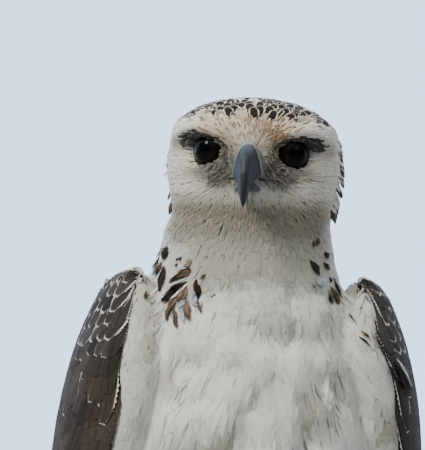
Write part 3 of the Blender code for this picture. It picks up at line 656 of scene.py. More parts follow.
def swells(points):
    """Height of the loose plumage's rounded lobes at each point, from -1 in the creases to 1."""
    noise_at = mathutils.noise.noise
    heights = []
    for point in points:
        place = Vector(point)
        bent = place + Vector((noise_at(place * 70), noise_at(place * 70 + Vector((9, 0, 0))), 0)) * 0.006
        nearest = mathutils.noise.voronoi(bent * 36)[0][0]
        heights.append(0.8 - 2.3 * nearest**2 + 0.5 * noise_at(place * 24))
    return np.clip(heights, -1, 1)


def head_trim(points):
    """How far the coat's outline lies inside the solid's on the cheeks, where feathers stand up from it."""
    out, _, up = head_local(points)
    on_cheek = smooth(0.020, 0.040, np.abs(out)) * smooth(0.022, -0.004, up) * smooth(-0.055, -0.035, up)
    return on_cheek * np.where(out < 0, 0.0008, 0.0004)


def from_bill(out, forward, up):
    """Distance from the bill's root, in the head's own frame."""
    return np.linalg.norm(np.stack([out, forward - BILL_ROOT[1], up - BILL_ROOT[2]], 1), axis=1)


def skin_depth(points):
    """How far the skin lies under the coat's outline."""
    face = smooth(0.060, 0.030, from_bill(*head_local(points)))
    return COAT_DEPTH + (FACE_DEPTH - COAT_DEPTH) * face


def make_skin(outline):
    mesh = outline.copy()
    mesh.name = "skin"
    points, normals = vertex_array(mesh), vertex_array(mesh, "normal")
    move_points(mesh, points - normals * (skin_depth(points) + np.maximum(lumps(points), 0))[:, None])
    shade_smooth(mesh)
    set_colours(mesh, "ground", skin_colours(points) * 0.85)
    add_piece("skin", mesh, skin_material(), TRUNK_NODES + WING_NODES)
    unwrap_by_place(mesh)


def body_patch(points):
    """Each place's spot on the body's own unwrap, which goes round in U and up in V."""
    x, y, z = (points - ORIGIN).T
    round_body = np.arctan2(x, -(y - 0.02)) / (2 * math.pi) + 0.5
    return np.stack([round_body * 0.98 + 0.01, z / 0.75 * 0.97 + 0.01], 1)


def unwrap_by_place(mesh):
    spots = body_patch(vertex_array(mesh))
    corners = np.empty(len(mesh.loops), np.int32)
    mesh.loops.foreach_get("vertex_index", corners)
    layer = mesh.uv_layers.new(name="OFBake")
    layer.data.foreach_set("uv", spots[corners].astype(np.float32).ravel())
    layer.active_render = True
    mesh.uv_layers.active = layer


# Markings


def gauss(value, centre, spread):
    return np.exp(-(((value - centre) / spread) ** 2))


BROW_LINE = (                   # bearing from the bill, height over the eyes' middle, half depth
    (16, 0.0012, 0.0005), (24, 0.0056, 0.0009), (32, 0.0082, 0.0012), (42, 0.0092, 0.0014),
    (50, 0.0080, 0.0018), (56, 0.0060, 0.0020), (61, 0.0042, 0.0010),
)


def brow_share(bearing, up):
    """1 on the dark brow, 0 off it."""
    knots = np.array(BROW_LINE)
    height = np.interp(np.abs(bearing), knots[:, 0], knots[:, 1])
    half = np.interp(np.abs(bearing), knots[:, 0], knots[:, 2], left=1e-5, right=1e-5)
    return smooth(1.25, 0.8, np.abs(up - height) / half)


TUFT_REACH = 0.023              # the part of a breast feather that shows lies this far below its root


def paint(target, colour, share):
    """Mixes a colour, or one for each feather, into the target by each feather's share."""
    share = np.clip(share, 0, 1)[:, None]
    target[:] = target * (1 - share) + np.asarray(colour) * share


def mantle_share(y, z, luck=0.5):
    """1 on the back between the wings, 0 off it; a luck from 0 to 1 makes its edge ragged."""
    share = smooth(0.610, 0.590, z + (luck - 0.5) * 0.02) * smooth(0.030, 0.052, y + (luck - 0.5) * 0.012)
    return share * smooth(0.225, 0.245, z)


def mark_head(points, luck, dice, ground, rim, streak, plan):
    """Paints the face, the crown and the nape."""
    count = len(points)
    x, y, z = (points - ORIGIN).T
    out, forward, up = head_local(points)
    bearing = np.abs(np.degrees(np.arctan2(out, forward)))
    side = np.abs(out)
    on_the_head = smooth(0.648, 0.662, z)
    # Cheeks and throat: cream, finely streaked, with painted shade under the bill and the chin
    paint(ground, CREAM, on_the_head * (0.35 + 0.6 * dice.random(count)))
    streaky = (on_the_head > 0.5) & (luck < 0.25)
    paint(streak, tone(176, 164, 146), on_the_head * 0.8)
    plan[:, 1] = np.where(streaky, 0.30, plan[:, 1])
    # Painted shadow under the bill: the throat made a dark, dull tan
    throat = smooth(0.640, 0.655, z) * smooth(-0.020, -0.034, up) * smooth(0.000, 0.030, forward)
    paint(ground, tone(106, 99, 77), throat * 0.9)
    # Painted shade below the chin on the front of the neck, partly the plumage's real greyer tint there
    under_chin = gauss(z, 0.640, 0.022) * smooth(-0.01, 0.02, -y) * smooth(0.064, 0.030, np.abs(x))
    paint(ground, tone(150, 150, 138), under_chin * 0.8)
    # Crown: dark brown spots, each on a pale-rimmed feather
    crown = smooth(0.0180, 0.0205, up + (luck - 0.5) * 0.005)
    spot = crown * (dice.random(count) < 0.95)
    paint(ground, DARK_SPOT * (0.6 + 0.7 * dice.random(count))[:, None], spot)
    paint(rim, tone(236, 230, 218), crown)
    plan[:, 0] = np.where(spot > 0.5, 0.27, plan[:, 0])
    # Forehead: buff and white mixed, with reddish streaks that are thickest to the left of the bill's root
    forehead = smooth(0.036, 0.018, side) * smooth(0.012, 0.030, forward) * smooth(0.000, 0.008, up)
    forehead = forehead * (1 - crown)
    paint(ground, BUFF, forehead * np.where(dice.random(count) < 0.55, 0.85, 0.25))
    red = gauss(out, 0.012, 0.008) * gauss(up, 0.010, 0.008)
    marked = dice.random(count) < forehead * (0.22 + 0.75 * red)
    paint(streak, tone(122, 98, 78), marked)
    paint(streak, RUFOUS, marked * red)
    paint(ground, tone(172, 148, 126), marked * 0.5)
    plan[:, 1] = np.where(marked, 0.55, plan[:, 1])
    # Between the bill and the eyes: buff above, grey below
    upper_lore = gauss(side, 0.0135, 0.0065) * gauss(up, 0.002, 0.0065) * smooth(0.028, 0.038, forward)
    paint(ground, tone(170, 146, 120), upper_lore * 0.9)
    lore = gauss(side, 0.0180, 0.0105) * gauss(up, -0.0095, 0.0095) * smooth(0.020, 0.034, forward)
    paint(ground, tone(68, 69, 67), np.minimum(lore * 1.8, 1) * (0.72 + 0.28 * dice.random(count)))
    under_eye = gauss(bearing, 40, 16) * gauss(up, -0.0125, 0.0032) * on_the_head
    paint(ground, tone(134, 130, 124), under_eye * 0.8)
    # The dark brow over and behind the eye
    brow = brow_share(bearing, up) * on_the_head
    shade = (0.6 + 0.9 * dice.random(count))[:, None]
    paint(ground, tone(72, 69, 67) * shade, brow * (dice.random(count) < 0.85))
    paint(rim, tone(120, 112, 106), brow)
    plan[:, 1] = np.where(brow > 0.4, 0, plan[:, 1])
    behind_eye = gauss(bearing, 62, 9) * gauss(up, 0.001, 0.004) * on_the_head
    paint(ground, tone(150, 142, 132), behind_eye * 0.6)
    # Nape and the sides of the head: a few feathers end dark
    nape = on_the_head * smooth(-0.008, -0.030, forward) * (1 - crown)
    tipped = (nape > 0.4) & (luck > 0.55)
    plan[:, 0] = np.where(tipped, 0.34, plan[:, 0])
    paint(rim, UMBER, tipped * 0.9)


def mark_body(points, luck, dice, ground, rim, streak, plan):
    """Paints the back of the neck, the breast and the back."""
    count = len(points)
    x, y, z = (points - ORIGIN).T
    # Back of the neck: brown centres
    around = np.degrees(np.arctan2(x, -y))
    behind = smooth(84, 105, np.abs(around)) * smooth(0.580, 0.610, z) * smooth(0.672, 0.655, z)
    chosen = (dice.random(count) < behind * 0.7) & (z < 0.668)
    paint(streak, tone(86, 66, 53), chosen)
    plan[:, 1] = np.where(chosen, 0.50 + 0.25 * dice.random(count), plan[:, 1] * (z > 0.65))
    # Breast: painted shade, a faint warm grey, in the creases between its lobes, and a few straw-tinted
    # feathers
    breast = smooth(0.64, 0.60, z) * smooth(0.16, 0.24, z)
    shown = points - np.array((0, 0, TUFT_REACH))
    paint(ground, tone(170, 167, 152), breast * np.clip(0.18 - swells(shown) * 0.9, 0, 0.85))
    paint(ground, STRAW, breast * (dice.random(count) < 0.07) * 0.35)
    # Back, between the wings: brown with pale rims
    mantle = mantle_share(y, z, luck)
    paint(ground, BARK * (0.75 + 0.4 * luck[:, None]), mantle)
    paint(rim, tone(216, 208, 196), mantle)
    plan[:, 0] = np.where(mantle > 0.5, 0.12, plan[:, 0])
    plan[:, 1] = np.where(mantle > 0.5, 0, plan[:, 1])


def markings(points, dice):
    """Ground, rim and streak colours of the feather rooted at each point, and its plan.

    The plan is the breadth of its rim, the breadth of its shaft streak, and its bars' turns and strength.
    """
    count = len(points)
    luck = dice.random(count)
    ground, rim, streak = (np.tile(colour, (count, 1)) for colour in (WHITE, WHITE, CREAM * 0.8))
    plan = np.zeros((count, 3))
    mark_head(points, luck, dice, ground, rim, streak, plan)
    mark_body(points, luck, dice, ground, rim, streak, plan)
    ground *= (0.96 + 0.06 * dice.random(count))[:, None]
    return ground, rim, streak, plan


def skin_colours(points):
    """The coat's markings without the rims and streaks, and the wings' own brown and white."""
    ground = markings(points, np.random.default_rng(5))[0]
    radius, bearing, first, last = wing_measure(points)
    share = (bearing - first) / (last - first)
    x, _, z = (points - ORIGIN).T
    outside = (radius > 0.90) & (share > white_front(z, np.sign(x)) + 0.06)
    ground[belongs_to_wing(points) & (outside | (z < ALL_COVERED))] = UMBER
    return ground


# Feathers


def feather_shape(rows, columns, fringe, blunt, slim, barbs, dice):
    """One feather's flat shape: (across, along, lift) of its points, its faces, and the vane's own measure.

    The blade has rows and columns of faces, and a fringe of loose barb tips round its outer part, which reach
    past it by up to the barbs' share of the feather's length.
    """
    def half_breadth(along):
        opening = slim + (1 - slim) * np.sqrt(np.clip(along / 0.45, 0, 1))
        closing = np.sqrt(np.clip(1 - (np.clip(along - 1 + blunt, 0, None) / blunt) ** 2, 0, 1))
        return opening * closing

    def rim_point(turn, inset):
        along = 1 - 0.70 * abs(turn) ** 1.25
        half = float(half_breadth(along * 0.985)) * inset
        return math.copysign(half, turn), along * 0.985 * (0.93 + 0.07 * inset)

    rims = 1 - (1 - np.linspace(0, 1, rows + 1)) ** 1.25
    points, measure = [], []
    for along in rims * 0.955:
        half = max(float(half_breadth(along)), 0.12) * 0.93
        for across in np.linspace(-1, 1, columns + 1):
            points.append((across * half, along * (1 - 0.02 * across**2), 0.0))
            measure.append((across * 0.93, along))
    faces = []
    for row in range(rows):
        for column in range(columns):
            a = row * (columns + 1) + column
            faces.append((a, a + 1, a + columns + 2, a + columns + 1))
    # Loose barb tips, each a narrow triangle on the blade's rim
    turns = np.linspace(-1, 1, fringe + 1)
    for left, right in zip(turns, turns[1:]):
        middle = (left + right) / 2
        spread = (right - left) * 0.35
        base_left, base_right = rim_point(left - spread, 0.86), rim_point(right + spread, 0.86)
        reach = 1.0 + dice.uniform(0.00, 0.10)
        tip = rim_point(middle, reach)
        start = len(points)
        lift = dice.uniform(-0.02, 0.02)
        fray = barbs * dice.uniform(0.3, 1.0)
        points += [(*base_left, 0.004), (*base_right, 0.004), (tip[0], tip[1] + fray, lift)]
        edge = math.copysign(min(1.0, abs(middle) * 2.4), middle)
        measure += [(edge * 0.86, base_left[1]), (edge * 0.86, base_right[1]), (edge, min(tip[1], 1.0))]
        faces.append((start, start + 1, start + 2))
    return np.array(points), faces, np.array(measure) * (0.5, 1.0) + (0.5, 0.0)


def shape_set(count, seed, **sizes):
    dice = random.Random(seed)
    return [feather_shape(dice=dice, **sizes) for _ in range(count)]


def plain(tints, shaft=0.8):
    """Colours of feathers that have neither rims nor streaks."""
    return [tints, tints, tints * shaft, np.zeros((len(tints), 3))]


PATCH = 0.003                   # breadth of a feather's own patch on the bird's baked picture


class Feathers:
    """Many feathers laid at once: paths over the surface, breadths, lifts and colours."""

    def __init__(self):
        self.parts = []

    def lay(self, paths, normals, breadth, root_lift, tip_lift, cup, colours, shapes, spots, dice, drop=0.0):
        """paths and normals are (feathers, stations, 3); breadth, lifts and cup are one or one for each."""
        count, stations = paths.shape[:2]
        sizes = (breadth, root_lift, tip_lift, cup)
        breadth, root_lift, tip_lift, cup = (np.broadcast_to(np.asarray(v, float), (count,)) for v in sizes)
        tangents = unit(np.gradient(paths, axis=1))
        sides = unit(np.cross(tangents, normals))
        picks = dice.integers(0, len(shapes), count)
        for which, (shape, faces, uv) in enumerate(shapes):
            chosen = np.nonzero(picks == which)[0]
            if not len(chosen):
                continue
            across, along, lift = shape.T
            at = np.clip(along, 0, 1.08) * (stations - 1)
            low = np.clip(at.astype(int), 0, stations - 2)
            part = (at - low)[None, :, None]
            path, normal, side = paths[chosen], normals[chosen], sides[chosen]
            place = path[:, low] * (1 - part) + path[:, low + 1] * part
            upward = unit(normal[:, low] * (1 - part) + normal[:, low + 1] * part)
            sideways = unit(side[:, low] * (1 - part) + side[:, low + 1] * part)
            half = breadth[chosen][:, None] / 2
            risen = smooth(0, 0.7, along)[None, :]
            rise = root_lift[chosen][:, None] + (tip_lift - root_lift)[chosen][:, None] * risen
            rise = rise - cup[chosen][:, None] * across[None, :] ** 2 * half + lift[None, :] * half
            rise = rise - drop * np.clip((along[None, :] - 0.6) / 0.4, 0, 1.2) ** 2
            made = place + sideways * (across[None, :] * half)[..., None] + upward * rise[..., None]
            self.parts.append((made, faces, uv, [c[chosen] for c in colours], spots[chosen]))

    def build(self, name, material, replaces=()):
        """One mesh of all the feathers laid so far."""
        points, totals, corners, uvs, patches = [], [], [], [], []
        tints = [[], [], [], []]
        base = 0
        for made, faces, uv, colours, spots in self.parts:
            count, size = made.shape[:2]
            points.append(made.reshape(-1, 3))
            flat = np.concatenate([np.array(face) for face in faces])
            offsets = np.arange(count)[:, None] * size + base
            corners.append((flat[None, :] + offsets).ravel())
            totals.append(np.tile([len(face) for face in faces], count))
            uvs.append(np.tile(uv[flat], (count, 1)))
            patch = spots[:, None, :] + (uv[flat][None, :, :] - 0.5) * PATCH
            patches.append(patch.reshape(-1, 2))
            for store, colour in zip(tints, colours):
                store.append(np.repeat(colour, size, axis=0))
            base += count * size
        points, corners, totals = (np.concatenate(parts) for parts in (points, corners, totals))
        starts = np.concatenate([[0], np.cumsum(totals)[:-1]])
        mesh = bpy.data.meshes.new(name)
        mesh.vertices.add(len(points))
        mesh.vertices.foreach_set("co", points.astype(np.float32).ravel())
        mesh.loops.add(len(corners))
        mesh.loops.foreach_set("vertex_index", corners.astype(np.int32))
        mesh.polygons.add(len(starts))
        mesh.polygons.foreach_set("loop_start", starts.astype(np.int32))
        mesh.polygons.foreach_set("loop_total", totals.astype(np.int32))
        mesh.update(calc_edges=True)
        shade_smooth(mesh)
        for key, values in (("vane", uvs), ("OFBake", patches)):
            layer = mesh.uv_layers.new(name=key)
            layer.data.foreach_set("uv", np.concatenate(values).astype(np.float32).ravel())
        mesh.uv_layers.active = mesh.uv_layers["OFBake"]
        for key, store in zip(("ground", "rim", "streak"), tints):
            set_colours(mesh, key, np.concatenate(store))
        set_colours(mesh, "plan", np.concatenate(tints[3]), "FLOAT_VECTOR")
        add_piece(name, mesh, material, replaces)


# Where the body's feathers root, and how they lie


def lie(points, normals, dice):
    """The direction in which the feather rooted at each point lies, along the surface."""
    x, y, z = (points - ORIGIN).T
    forward = head_local(points)[1]
    root = np.array(on_head(*BILL_ROOT))
    away = unit(points - root)
    behind = smooth(0.012, -0.035, forward)
    head_way = away + np.array((0, 0, -1.0)) * (1.3 * behind)[:, None]
    body_way = np.stack([x * 2.2, 0.10 + 0 * y, -np.ones_like(z)], 1)
    on_body = smooth(0.668, 0.640, z)[:, None]
    way = unit(head_way) * (1 - on_body) + unit(body_way) * on_body
    way = way - normals * (way * normals).sum(1, keepdims=True)
    way = unit(way)
    spin = dice.normal(0, 0.09, len(points))[:, None]
    return unit(way * np.cos(spin) + np.cross(normals, way) * np.sin(spin))


# Length, breadth and spacing of the small feathers, by where they are
CROWN_COAT = (0.0110, 0.0066, 0.0039)
SHANK_COAT = (0.0145, 0.0046, 0.0026)
WRIST_COAT = (0.0130, 0.0056, 0.0029)
BODY_COAT = (                   # height, then length, breadth and spacing there
    (0.10, 0.0120, 0.0046, 0.0026),
    (0.14, 0.0240, 0.0058, 0.0029),
    (0.22, 0.0280, 0.0064, 0.0031),
    (0.40, 0.0300, 0.0068, 0.0032),
    (0.56, 0.0280, 0.0064, 0.0030),
    (0.62, 0.0210, 0.0056, 0.0026),
    (0.66, 0.0145, 0.0044, 0.0023),
)
MANTLE_GAIN = (0.35, 1.2, 0.6)  # how much more they are on the back
SHANK_TOP = 0.118


def column(sizes):
    return np.array(sizes)[:, None]


def coat_sizes(points, winged):
    """Length, breadth and spacing of the feathers rooted at each point; winged marks points on a wing."""
    _, y, z = (points - ORIGIN).T
    out, forward, up = head_local(points)
    away = from_bill(out, forward, up)
    length = np.interp(away, (0.008, 0.022, 0.045, 0.070, 0.110), (0.0036, 0.0052, 0.0080, 0.0110, 0.0150))
    slimness = np.interp(away, (0.01, 0.06, 0.11), (0.26, 0.30, 0.36))
    sizes = np.stack([length, length * slimness, length * 0.205])
    height, *by_height = np.array(BODY_COAT).T
    on_body = np.stack([np.interp(z, height, values) for values in by_height])
    crown, body = smooth(0.0165, 0.0200, up), smooth(0.668, 0.625, z)
    for kind, share in ((column(CROWN_COAT), crown), (on_body, body)):
        sizes = sizes * (1 - share) + kind * share
    sizes = sizes * (1 + column(MANTLE_GAIN) * mantle_share(y, z))
    sizes = np.where(z < SHANK_TOP, column(SHANK_COAT), sizes)
    return np.where(winged, column(WRIST_COAT), sizes)


def near_eye(points):
    """True where a feather would lie over an eye or its lids."""
    clear = np.zeros(len(points), bool)
    for side in (-1, 1):
        centre = np.array(on_head(side * EYE_OUT, EYE_FORWARD, 0))
        clear |= np.linalg.norm(points - centre, axis=1) < EYE_RADIUS + EYE_CLEAR
    return clear


ROOT_TRIES = 3.2                # places tried for each feather that has room
ROOT_GAP = 0.86                 # share of the spacing within which no other feather roots


def root_places(outline, dice):
    """Roots spread evenly over the outline, closer where feathers are small."""
    outline.calc_loop_triangles()
    corner = np.empty(len(outline.loop_triangles) * 3, np.int32)
    outline.loop_triangles.foreach_get("vertices", corner)
    triangles = vertex_array(outline)[corner.reshape(-1, 3)]
    centres = triangles.mean(axis=1)
    facing = np.cross(triangles[:, 1] - triangles[:, 0], triangles[:, 2] - triangles[:, 0])
    area = np.linalg.norm(facing, axis=1) / 2
    winged = belongs_to_wing(centres)
    spacing = coat_sizes(centres, winged)[2]
    covered = under_wing_feathers(centres, unit(facing), winged)
    weight = area / spacing**2 * np.where(covered, 0, 1)
    total = int(weight.sum() * ROOT_TRIES)
    picks = dice.choice(len(weight), total, p=weight / weight.sum())
    a, b = dice.random(total), dice.random(total)
    over = a + b > 1
    a, b = (column(np.where(over, 1 - share, share)) for share in (a, b))
    first, second, third = triangles[picks].transpose(1, 0, 2)
    spots = first + (second - first) * a + (third - first) * b
    gaps = coat_sizes(spots, winged[picks])[2]
    tree = KDTree(total)
    for i, spot in enumerate(spots):
        tree.insert(spot, i)
    tree.balance()
    free = np.ones(total, bool)
    kept = []
    for i in range(total):
        if free[i]:
            kept.append(i)
            for _, j, _ in tree.find_range(spots[i], gaps[i] * ROOT_GAP):
                free[j] = False
    return spots[kept], winged[picks][kept]


def surface_paths(tree, roots, ways, lengths, stations):
    """Lines that start at the roots and follow the surface for the feathers' lengths."""
    count = len(roots)
    paths, normals = np.empty((2, count, stations, 3))
    step = lengths / (stations - 1)
    for i in range(count):
        place, normal, _, _ = tree.find_nearest(Vector(roots[i]))
        way = Vector(ways[i])
        for k in range(stations):
            paths[i, k] = place
            normals[i, k] = normal
            if k < stations - 1:
                ahead = place + way * step[i]
                found, seen, _, _ = tree.find_nearest(ahead)
                way = (found - place).normalized() if (found - place).length > 1e-6 else way
                place, normal = place + way * step[i], (normal + seen).normalized()
    return paths, normals


WRIST_GREY = 0.86               # brightness of the white feathers on the wings' front edges
PIECE_TRIANGLES = 180000        # most triangles in one piece of the coat


def lay_coat(outline, material):
    """The small and middling feathers of the head, neck, breast, back, belly and legs."""
    dice = np.random.default_rng(17)
    points = vertex_array(outline)
    faces = [tuple(face.vertices) for face in outline.polygons]
    tree = BVHTree.FromPolygons([tuple(p) for p in points], faces)
    roots, winged = root_places(outline, dice)
    normals = np.array([tree.find_nearest(Vector(root))[1] for root in roots])
    ways = lie(roots, normals, dice)
    length, breadth, _ = coat_sizes(roots, winged)
    length = length * dice.uniform(0.85, 1.15, len(roots))
    breadth = breadth * dice.uniform(0.88, 1.12, len(roots))
    keep = ~near_eye(roots + ways * length[:, None] * 0.8) & ~near_eye(roots)
    out, forward, up = head_local(roots)
    at_bill = (np.abs(out) < 0.0072) & (forward > 0.030) & (up < 0.0035) & (up > -0.0235)
    keep &= ~at_bill
    roots, ways, length, breadth, winged = (values[keep] for values in (roots, ways, length, breadth, winged))
    colours = markings(roots, dice)
    colours[0][winged] *= WRIST_GREY
    spots = body_patch(roots)
    crown = (head_local(roots)[2] > 0.017) & (length < 0.0145)
    hair = dict(rows=2, columns=2, fringe=8, blunt=0.80, slim=0.35, barbs=0.30)
    spot = dict(rows=3, columns=2, fringe=8, blunt=0.50, slim=0.50, barbs=0.12)
    contour = dict(rows=4, columns=2, fringe=16, blunt=0.70, slim=0.40, barbs=0.20)
    downy = dict(rows=5, columns=2, fringe=16, blunt=0.70, slim=0.40, barbs=0.20)
    # Name, members, stations, shape, variants, drop of the tip, cup, and how far the root is sunk and the tip
    # raised, as shares of the length
    small = (length < 0.0135) & ~winged
    kinds = (
        ("head", small & ~crown, 3, hair, 6, 0.0, 0.14, 0.090, 0.030),
        ("crown", crown, 3, spot, 4, 0.0, 0.14, 0.090, 0.030),
        ("neck", ~small & (length < 0.019) & ~crown, 4, contour, 4, 0.0001, 0.05, 0.055, 0.014),
        ("breast", (length >= 0.019) & ~crown, 7, downy, 5, 0.0003, 0.05, 0.036, 0.012),
    )
    for name, chosen, stations, sizes, variants, drop, cup, sunk, raised in kinds:
        chosen = np.nonzero(chosen)[0]
        shapes = shape_set(variants, 3, **sizes)
        triangles = sum(len(face) - 2 for face in shapes[0][1])
        share = max(1, math.ceil(len(chosen) * triangles / PIECE_TRIANGLES))
        order = np.argsort(roots[chosen][:, 2])
        for part, members in enumerate(np.array_split(chosen[order], share)):
            size = length[members]
            paths, normals = surface_paths(tree, roots[members], ways[members], size, stations)
            tip = (size * raised + 0.0002) * dice.uniform(0.8, 1.15, len(members))
            coat = Feathers()
            coat.lay(
                paths, normals, breadth[members], -size * sunk, tip, cup, [c[members] for c in colours],
                shapes, spots[members], dice, drop,
            )
            coat.build(f"{name}_feathers_{part + 1}", material)
    return tree


# Marked feathers, listed in millimetres as seen from the camera's bearing: the root's place across from
# the eyes' middle and its height, the same of the tip, breadth, and kind
MARKS = (
    (-49, 635, -50.5, 625.5, 4.5, "dark"),
    (-41.5, 628.5, -42.5, 625.5, 1, "dark"),
    (-39.5, 629.5, -40.5, 625.5, 1, "brown"),
    (-42, 625, -42.5, 622, 1, "dark"),
    (-33, 628, -37.5, 622, 3, "wisp"),
    (-32.5, 623, -47, 611.5, 3.5, "dark"),
    (-33, 621, -41.5, 614.5, 3, "brown"),
    (-35, 616.5, -48.5, 607, 1.5, "white"),
    (-35.5, 613.5, -51, 599, 5.5, "edged"),
    (-50, 623, -52, 605.5, 4.5, "dark"),
    (-51.5, 625.5, -56, 615, 3, "brown"),
    (-52, 635, -55.5, 624.5, 1, "dark"),
    (-53, 629, -57.5, 617.5, 1.5, "dark"),
    (-24, 619.5, -27, 615.5, 1.5, "brown"),
    (-30, 615.5, -28, 602, 4.5, "dark"),
    (-32.5, 609, -29.5, 597.5, 5, "pale"),
    (-28.5, 604, -26, 596, 3.5, "pale"),
    (-35.5, 611.5, -41, 600.5, 4.5, "russet"),
    (-36.5, 605.5, -39.5, 596, 4.5, "pale"),
    (-41.5, 604.5, -46.5, 591, 3, "russet"),
    (-36, 603.5, -32.5, 588.5, 4, "russet"),
    (-42.5, 596.5, -39, 584, 3, "russet"),
    (-39.5, 600.5, -35.5, 587, 3.5, "pale"),
    (-46.5, 597.5, -46.5, 588, 2.5, "brown"),
    (-29.5, 605, -25.5, 594, 3, "brown"),
    (-20, 606, -20, 604.5, 1, "dark"),
    (-17.5, 607, -19.5, 605.5, 0.5, "wisp"),
    (44.5, 645, 42, 639.5, 2.5, "brown"),
    (41, 642.5, 40.5, 638.5, 2, "brown"),
    (49, 636.5, 49.5, 631.5, 3, "dark"),
    (48, 630, 51, 624, 2.5, "dark"),
    (39.5, 631, 45.5, 620.5, 3.5, "dark"),
    (44, 621, 47.5, 613.5, 5, "pale"),
    (41.5, 616.5, 43, 613, 1.5, "wisp"),
    (52, 621, 53, 616.5, 1.5, "dark"),
    (54.5, 621.5, 60, 605.5, 2, "dark"),
    (53.5, 614.5, 58.5, 602.5, 3.5, "brown"),
    (52, 610, 55, 602.5, 2, "dark"),
    (71.5, 585.5, 80, 577.5, 1, "dark"),
    (73, 588.5, 79, 583, 1.5, "brown"),
    (66, 599, 70, 592.5, 1, "brown"),
    (82.5, 578, 92.5, 580, 0.5, "wisp"),
    (75.5, 615.5, 77.5, 614.5, 1, "brown"),
    (-61, 606.5, -61.5, 600.5, 2.5, "brown"),
    (90.5, 570.5, 101.5, 547, 7, "on wing"),
)
MARK_KINDS = {                  # ground colour, colour of the outer strands, root and tip lifts
    "dark": (tone(50, 40, 35), tone(66, 54, 46), 0.0004, 0.0018),
    "brown": (tone(92, 76, 65), tone(116, 98, 84), 0.0006, 0.0020),
    "russet": (tone(104, 84, 74), tone(138, 122, 110), 0.0008, 0.0024),
    "pale": (tone(170, 180, 192), tone(196, 204, 212), 0.0004, 0.0017),
    "white": (WHITE, WHITE, 0.0008, 0.0026),
    "edged": (DARK_SPOT, WHITE, 0.0006, 0.0023),
    "wisp": (tone(128, 120, 110), tone(150, 144, 134), 0.0004, 0.0016),
    "on wing": (tone(46, 46, 50), WHITE, 0.0050, 0.0058),
}
STRANDS = 12                    # to each millimetre of a mark's breadth


def view_axes():
    """Level directions to the right as the camera sees it, and out of the picture towards the camera."""
    right = Vector((math.cos(VIEW_BEARING), math.sin(VIEW_BEARING), 0))
    return right, Vector((math.sin(VIEW_BEARING), -math.cos(VIEW_BEARING), 0))


def seen_point(tree, across, height):
    """Where the line of sight at a place of the picture meets the coat, and the direction out of it there."""
    right, towards = view_axes()
    start = on_head(0, EYE_FORWARD, 0)
    start = Vector((start.x, start.y, ORIGIN[2] + height)) + right * across + towards * 0.3
    hit, normal, _, _ = tree.ray_cast(start, -towards)
    return hit, normal


def lay_marks(tree, material):
    """Dark, tipped and pale feathers that stand out on the neck's sides, each a bundle of loose strands."""
    dice = np.random.default_rng(61)
    shapes = shape_set(4, 19, rows=4, columns=2, fringe=6, blunt=0.85, slim=0.35, barbs=0.10)
    marks = Feathers()
    for *measures, kind in MARKS:
        ground, outer, root_lift, tip_lift = MARK_KINDS[kind]
        across, height, low_across, low_height, breadth = np.array(measures) / 1000
        start = np.array((across, height))
        reach = np.array((low_across, low_height)) - start
        sideways = np.array((-reach[1], reach[0])) / np.linalg.norm(reach)
        paths, normals, tints = [], [], []
        for aside in np.clip(dice.normal(0, 0.55, 6 + int(breadth * 1000 * STRANDS)), -1.3, 1.3):
            last = 1 - 0.30 * abs(aside) ** 1.5 - dice.uniform(0, 0.22)
            first = dice.uniform(-0.05, 0.5) * last
            spots = []
            for share in np.linspace(first, last, 5):
                spread = aside * (0.30 + 0.70 * min(1, share / 0.45)) * breadth * 0.45
                spots.append(seen_point(tree, *(start + reach * share + sideways * spread)))
            if any(hit is None for hit, _ in spots):
                continue
            paths.append([hit for hit, _ in spots])
            normals.append([normal for _, normal in spots])
            outside = aside > 0.75 if outer is WHITE else abs(aside) > 0.80 or dice.random() < 0.12
            tints.append((outer if outside else ground) * dice.uniform(0.65, 1.35))
        if not paths:
            continue
        paths, normals, tints = np.array(paths), np.array(normals), np.array(tints)
        thickness = min(0.00095, max(0.0004, breadth * 0.26))
        rise = dice.uniform(0.6, 1.2, len(paths))
        marks.lay(
            paths, normals, thickness, root_lift * rise, tip_lift * rise, 0.16, plain(tints), shapes,
            body_patch(paths[:, 0]), dice,
        )
    marks.build("marked_feathers", material)


# Wings


def wing_breadth(height):
    points, _ = wing_surface(np.full(25, height), np.linspace(0, 1, 25), 1)
    return np.linalg.norm(np.diff(points, axis=0), axis=1).sum()


def wing_patch(height, share, side):
    return np.stack([0.25 + side * (0.02 + 0.21 * share), height / 0.65 * 0.97 + 0.01], 1)


COVERT_GAPS = (0.034, 0.028, 0.020, 0.0125, 0.0110, 0.0080)


def wing_rows():
    """Heights of the tips of the covert rows, from the wrist down, with each row's spacing to the next."""
    rows = []
    height = 0.6135
    while height > 0.385:
        gap = float(np.interp(height, (0.38, 0.46, 0.52, 0.555, 0.575, 0.62), COVERT_GAPS))
        rows.append((height, gap))
        height -= gap
    return rows


def wing_paths(tips, sizes, share, lean, side, stations=5):
    """Lines down the wing that end at the tips, lean back from upright and keep clear of the white front."""
    along = np.linspace(0, 1, stations)[None, :]
    heights = tips[:, None] + (sizes * np.cos(lean))[:, None] * (1 - along)
    # Where the top falls towards the back they end a little below it, so that their sides don't stand over it
    top = WING_TOP - 0.0048 * smooth(0.30, 0.56, share)[:, None]
    over = np.clip(heights - top, 0, None)
    heights = np.clip(heights, 0.08, top)
    levels = np.linspace(0.07, 0.62, 56)
    breadth = np.interp(heights, levels, [wing_breadth(level) for level in levels])
    drift = (sizes * np.sin(lean))[:, None] * (along - 1) / breadth
    widening = white_front(heights, side) - white_front(tips, side)[:, None]
    place = share[:, None] + drift + widening * smooth(0.50, 0.10, share)[:, None]
    place = np.maximum(place, white_front(heights, side) + 0.045)
    paths, normals = wing_surface(heights, np.clip(place, 0.0, 0.995), side)
    # Past the wrist's top their roots turn down inside the wing
    inward = unit(normals * (1, 1, 0)) * np.minimum(over * 0.4, 0.0030)[..., None]
    paths = paths - inward - np.array((0, 0, 0.95)) * over[..., None]
    return paths, normals


